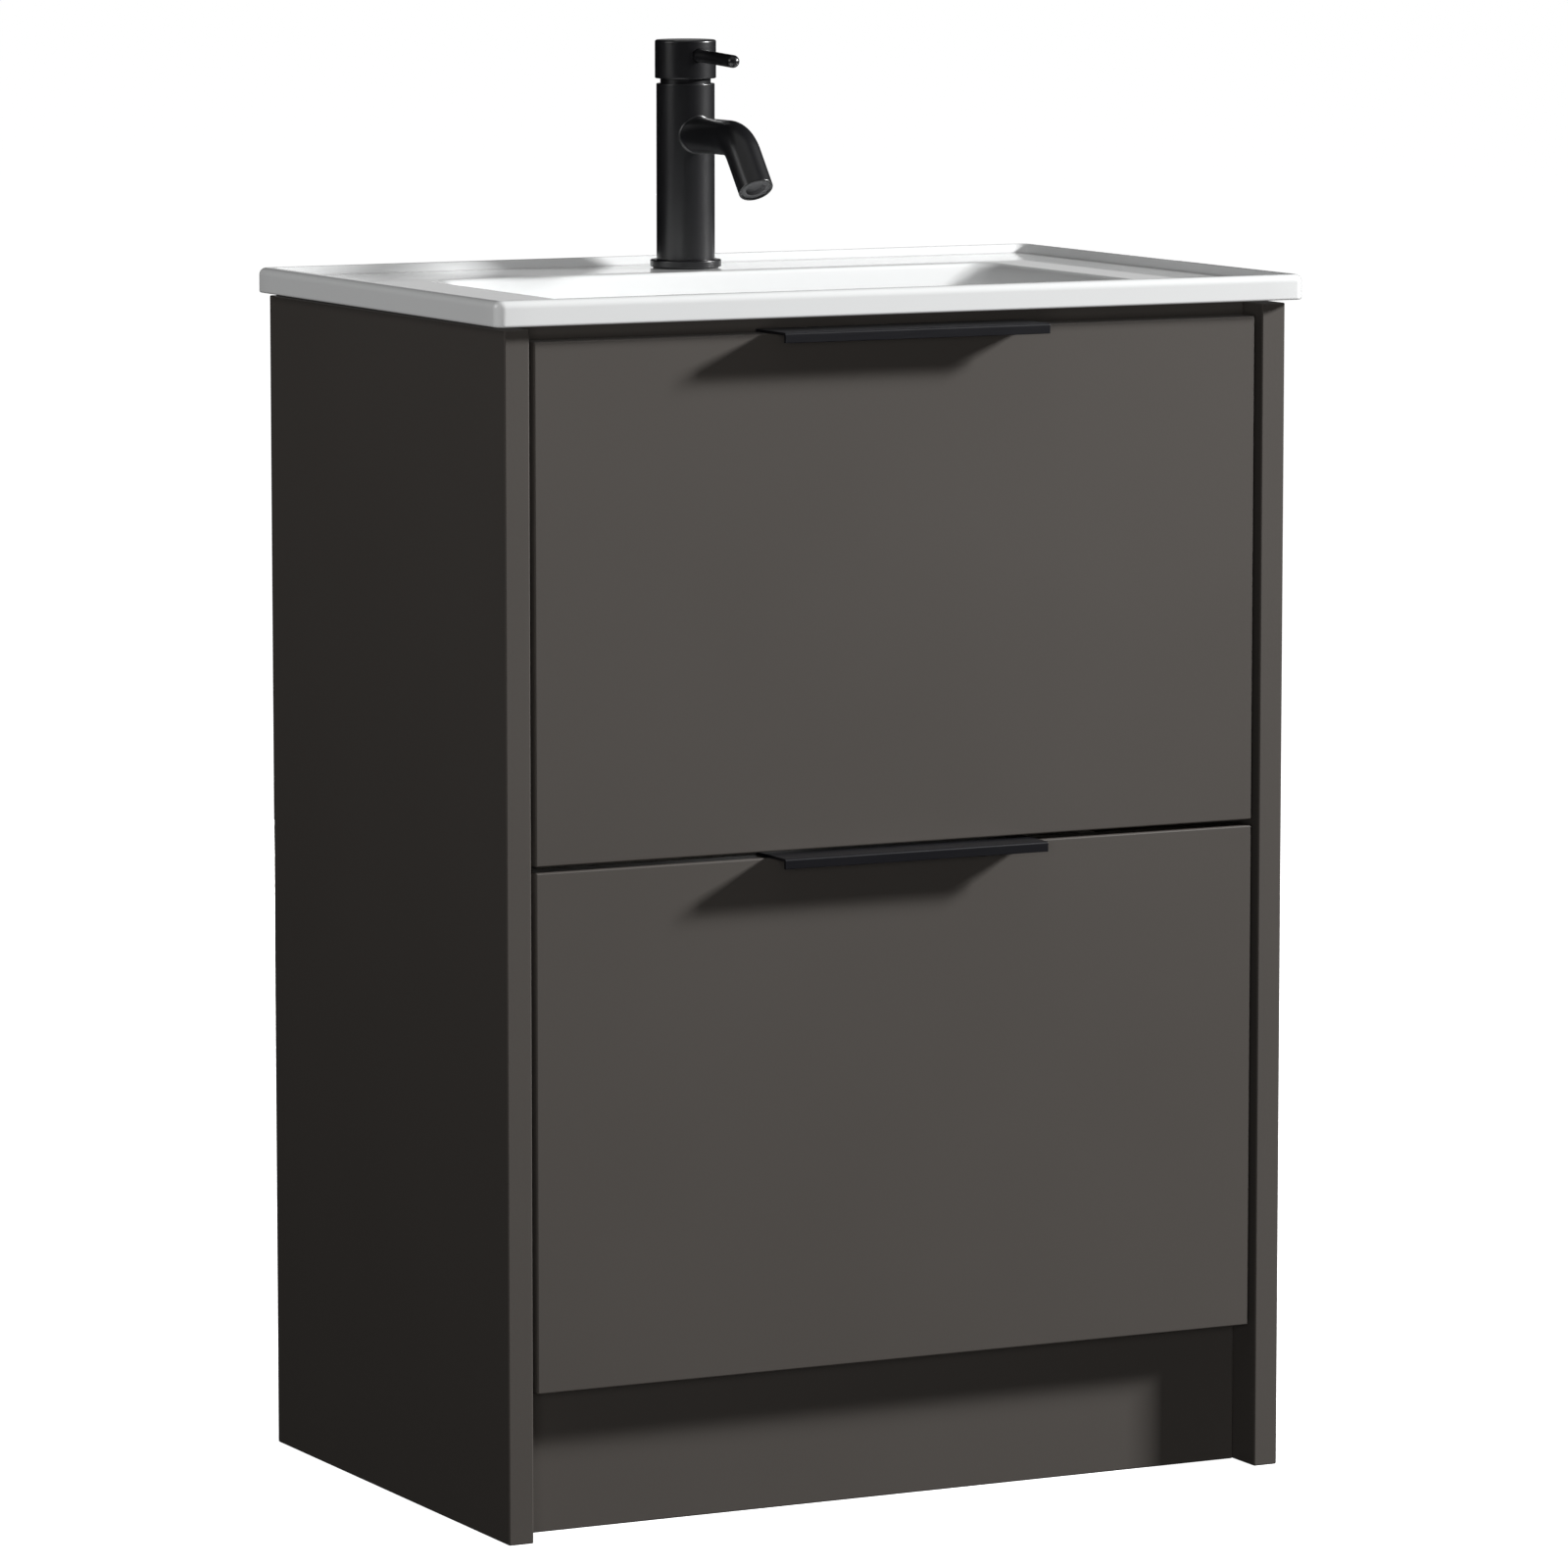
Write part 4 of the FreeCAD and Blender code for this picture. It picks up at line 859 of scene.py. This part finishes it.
def tap_body():
    """Upright body, spout and spigot in one closed surface, with its bores.

    Outlines of radius and height are turned about the tap's axis.  From the body to the spout the
    fillet is (1 - s) squared times the outer row, plus 2 s (1 - s) times the inner row, plus s
    squared times the row ahead of it, and the spout is a circle carried along its centre line.
    """
    low, high = spout_height - band_half_height, spout_height + band_half_height
    foot = rounded([(tap_spigot_radius, tap_spigot_foot), (tap_spigot_radius, tap_ring_top),
                    (tap_body_radius, tap_ring_top), (tap_body_radius, low)],
                   tap_foot_radii, 3)
    crown = rounded([(tap_body_radius, high), (tap_body_radius, tap_body_top),
                     (tap_nut_radius, tap_body_top), (tap_nut_radius, tap_nut_seat),
                     (tap_cavity_radius, tap_nut_seat), (tap_cavity_radius, tap_cavity_floor),
                     (0, tap_cavity_floor)],
                    tap_crown_radii, 5)
    surfaces = [column_rows(foot), column_rows(crown)]
    surfaces += pierced_band(tap_body_radius, low, high, spout_height, spout_radius + spout_fillet)
    outer = saddle(tap_body_radius, spout_radius + spout_fillet, spout_height, tube_angles)
    inner = saddle(tap_body_radius, spout_radius, spout_height, tube_angles)
    ahead = inner - np.array([0, spout_fillet, 0])
    share = np.linspace(0, 1, spout_fillet_steps + 1)[:, None, None]
    surfaces.append((1 - share) ** 2 * outer + 2 * share * (1 - share) * inner + share ** 2 * ahead)
    bend_end = spout_level + spout_bend_radius * spout_bend
    length = bend_end + spout_run
    level_end = spout_rows([spout_level], [spout_radius])[0]
    surfaces.append(between(ahead, level_end, spout_level_steps))
    stations = np.concatenate([np.linspace(spout_level, bend_end, spout_bend_steps + 1),
                               np.linspace(bend_end, length - spout_mouth_length,
                                           spout_run_steps + 1)[1:]])
    surfaces.append(spout_rows(stations, np.full(len(stations), spout_radius)))
    mouth = rounded([(length - spout_mouth_length, spout_radius), (length, spout_radius),
                     (length, aerator_radius), (length - aerator_seat, aerator_radius),
                     (length - aerator_seat, 0)],
                    spout_mouth_radii, 5)
    surfaces.append(spout_rows(*mouth.T))
    base = (0.0, tap_y, deck + tap_spigot_foot)
    outline = column_rows([(tap_spigot_radius, tap_spigot_foot)])[0]
    holes = []
    inlet = [(inlet_radius, 0), (inlet_radius, inlet_depth), (inlet_bore_radius, inlet_depth),
             (inlet_bore_radius, inlet_bore_depth), (0, inlet_bore_depth)]
    bores = [(side * inlet_half_spacing, -inlet_ahead, inlet) for side in (-1, 1)]
    bores.append((0.0, stud_behind, [(stud_radius, 0), (stud_radius, stud_depth), (0, stud_depth)]))
    for x, y, profile in bores:
        bore = turned(profile, (x, base[1] + y, base[2]), bore_segments)
        surfaces.append(bore)
        holes.append(bore[0])
    new_piece("mixer_body", surfaces, "black_tap", "cabinet", ["tap_body"],
              faces=[flat_with_holes(outline, holes)], sharp=50)


def tap_base_ring():
    """Ring that hides the tap hole: a closed outline with round corners, turned about the axis."""
    profile = rounded([(tap_spigot_radius, tap_ring_seam), (tap_spigot_radius, tap_ring_foot),
                       (tap_ring_radius, tap_ring_foot), (tap_ring_radius, tap_ring_top),
                       (tap_spigot_radius, tap_ring_top), (tap_spigot_radius, tap_ring_seam)],
                      tap_ring_radii, 6)
    new_piece("mixer_base_ring", [turned(profile, (0, tap_y, deck))], "black_tap", "cabinet",
              ["tap_base_ring"])


def tap_head():
    """Cap that tilts with the lever, hollow from below, with a round seat for the lever.

    Outlines of radius and height are turned about the tap's axis.  The seat starts where a level
    tube meets the cap's wall, narrows to the lever's radius and ends at a flat bottom.
    """
    lever_height = head_top - lever_below_top
    low, high = lever_height - lever_band_half_height, lever_height + lever_band_half_height
    ceiling = head_top - head_roof
    top = rounded([(head_radius, high), (head_radius, head_top), (0, head_top)], [head_top_radius], 8)
    lower = rounded([(head_radius, low), (head_radius, head_bottom), (head_skirt_radius, head_bottom),
                     (head_skirt_radius, head_bottom + head_skirt_depth),
                     (head_hollow_radius, head_bottom + head_skirt_depth),
                     (head_hollow_radius, ceiling), (0, ceiling)],
                    head_lower_radii, 5)
    surfaces = [column_rows(top), column_rows(lower)]
    edge = lever_radius + lever_seat_edge
    surfaces += pierced_band(head_radius, low, high, lever_height, edge)
    mouth = saddle(head_radius, edge, lever_height, tube_angles)
    wall = saddle(head_radius, lever_radius + lever_seat_play, lever_height, tube_angles)
    throat = wall + np.array([0, lever_seat_slope, 0])
    seat = wall.copy()
    seat[:, 1] = tap_y - head_radius + lever_seat
    middle = np.broadcast_to([0, tap_y - head_radius + lever_seat, deck + lever_height], seat.shape)
    surfaces += [between(mouth, throat, 2), between(throat, seat, 2), between(seat, middle, 2)]
    new_piece("mixer_head", surfaces, "black_tap", "tap_handle", ["tap_head"], sharp=50)


def tap_lever():
    """Slim rod with a half-round end and a narrow slope round its root.

    Measured along the rod, the radius is constant and then falls as the square root of
    r squared less the distance past the last centre squared.
    """
    length = (lever_reach - head_radius + lever_seat) / math.cos(lever_droop) - lever_radius
    cap = np.linspace(0, math.pi / 2, lever_end_steps + 1)[1:]
    shank = np.linspace(0, length, lever_shank_steps + 1)
    distance = np.concatenate([[0, 0], shank, length + lever_radius * np.sin(cap)])
    radius = np.concatenate([[0, lever_radius - lever_root_edge], np.full(len(shank), lever_radius),
                             lever_radius * np.cos(cap)])
    distance[2] = lever_root_edge
    angle = np.linspace(0, 2 * math.pi, lever_segments + 1)
    across, above = radius[:, None] * np.sin(angle), radius[:, None] * np.cos(angle)
    slope, rise = math.cos(lever_droop), math.sin(lever_droop)
    root_y, root_z = tap_y - head_radius + lever_seat, deck + head_top - lever_below_top
    rows = np.stack([across, root_y - distance[:, None] * slope - above * rise,
                     root_z - distance[:, None] * rise + above * slope], axis=-1)
    new_piece("mixer_lever", [rows], "black_tap", "tap_handle", ["tap_lever"])


# ---------------------------------------------------------------- pulls
def edge_pull(level):
    """Bent strip: a flange behind the front, a plate over its edge and a lip turned down.

    Its outer and inner outlines, with round bends, have as many points as each other, and both
    are carried along X.
    """
    low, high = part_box(level + "_pull")
    top = high.z - pull_thickness
    outer = rounded([(high.y, low.z), (high.y, high.z), (low.y, high.z), (low.y, top - pull_lip)],
                    [pull_outer_bend, pull_outer_bend], 6)
    inner = rounded([(high.y - pull_thickness, low.z), (high.y - pull_thickness, top),
                     (low.y + pull_thickness, top), (low.y + pull_thickness, top - pull_lip)],
                    [pull_inner_bend, pull_inner_bend], 6)
    ends = np.array([low.x, high.x])[:, None]

    def carried(outline):
        """The outline of Y and Z, repeated at the X of both ends."""
        y, z = outline.T
        return np.stack([ends + 0 * y, 0 * ends + y, 0 * ends + z], axis=-1)

    over, under = carried(outer), carried(inner)
    sides = [np.stack([over[end], under[end]]) for end in (0, 1)]
    tips = [np.stack([over[:, tip], under[:, tip]]) for tip in (0, -1)]
    new_piece(level + "_edge_pull", [over, under, *sides, *tips], "black_aluminium",
              level + "_drawer", [level + "_pull"], sharp=40, bevel=pull_edge)


# ---------------------------------------------------------------- waste plug
def waste_plug():
    """Press-up plug: a domed cap with a rounded edge on a straight stem, turned about the waste.

    At the share s of the dome's radius, the dome lies lower than its middle by the crown times s
    squared.
    """
    low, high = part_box("waste_stopper")
    radius, seat = high.x, high.z - plug_thickness
    shoulder, dome_radius = high.z - plug_crown, radius - plug_edge_width
    edge = rounded([(plug_stem_radius, low.z), (plug_stem_radius, seat), (radius, seat),
                    (radius, shoulder), (dome_radius, shoulder)],
                   [plug_seat_radius, plug_seat_radius, plug_edge_radius], 6)
    share = np.linspace(1, 0, plug_dome_steps + 1)[:, None]
    dome = np.concatenate([share * dome_radius, high.z - plug_crown * share ** 2], axis=1)
    profile = np.concatenate([[(0, low.z)], edge, dome[1:]])
    new_piece("press_up_plug", [turned(profile, (0, waste_y, 0))], "bright_chrome", "waste_plug",
              ["waste_stopper"], sharp=60)


# ---------------------------------------------------------------- studio
floor_half = 60.0
object_middle = Vector((0, 0, 0.45))
key_place = object_middle + Vector((2.25, -1.0, 1.2)).normalized() * 5

# name, place, target, side of the square, watts, seen in reflections
lamps = (
    ("key", key_place, object_middle, 0.6, 400, True),
    ("overhead", (-0.9, -0.6, 3.2), object_middle, 2.6, 7, True),
    ("front_fill", (-2.2, -4.2, 0.7), object_middle, 1.8, 58, False),
    ("left_card", (-1.6, 0.15, 1.4), (-0.3, 0.0, 0.6), 0.8, 4.5, True),
    ("rear_fill", (0.7, 3.4, 0.42), (0, 0, 0.42), 0.85, 75, False),
    ("back_card", (1.9, 4.2, 1.25), (0, 0, 0.82), 1.4, 3, True),
)


def area_light(name, place, target, size, power, in_reflections):
    """Square lamp that faces its target."""
    lamp = bpy.data.lights.new(name, "AREA")
    lamp.shape = "SQUARE"
    lamp.size = size
    lamp.energy = power
    holder = bpy.data.objects.new(name, lamp)
    holder.location = place
    holder.rotation_euler = (Vector(target) - Vector(place)).to_track_quat("-Z", "Y").to_euler()
    holder.visible_glossy = in_reflections
    bpy.context.scene.collection.objects.link(holder)


def pale_floor():
    """Plain white floor that shines by itself and doesn't light the object."""
    corners = [(x * floor_half, y * floor_half, 0) for x, y in ((-1, -1), (1, -1), (1, 1), (-1, 1))]
    mesh = bpy.data.meshes.new("studio_floor")
    mesh.from_pydata(corners, [], [(0, 1, 2, 3)])
    finish = Finish("pale_floor", Base_Color=(0.75, 0.75, 0.75, 1), Roughness=0.9,
                    Specular_IOR_Level=0.0, Emission_Color=(1, 1, 1, 1), Emission_Strength=1.0)
    mesh.materials.append(finish.material)
    floor = bpy.data.objects.new("studio_floor", mesh)
    floor.visible_diffuse = False
    floor.visible_glossy = False
    bpy.context.scene.collection.objects.link(floor)


def studio():
    """White surroundings that don't light the object, the floor and the lamps."""
    scene = bpy.context.scene
    scene.view_settings.view_transform = "Standard"
    world = bpy.data.worlds.new("studio")
    world.use_nodes = True
    world.node_tree.nodes["Background"].inputs["Color"].default_value = (1, 1, 1, 1)
    world.cycles_visibility.diffuse = False
    world.cycles_visibility.glossy = False
    scene.world = world
    pale_floor()
    for lamp in lamps:
        area_light(*lamp)


# ---------------------------------------------------------------- camera
camera_place = (-2.6106, -5.1435, 1.2007)
camera_azimuth = 26.93
camera_tilt = -7.18
camera_lens = 192.5


def camera():
    """Long lens that looks down a little from the front left."""
    lens = bpy.data.cameras.new("camera")
    lens.lens = camera_lens
    lens.sensor_width = 36.0
    lens.clip_end = 200.0
    holder = bpy.data.objects.new("camera", lens)
    holder.location = camera_place
    holder.rotation_euler = (math.radians(90 + camera_tilt), 0, math.radians(-camera_azimuth))
    bpy.context.scene.collection.objects.link(holder)
    bpy.context.scene.camera = holder


camera()
studio()
finish_frame_nodes()
ceramic_basin()
tap_body()
tap_base_ring()
tap_head()
tap_lever()
for drawer_level in ("upper", "lower"):
    edge_pull(drawer_level)
waste_plug()
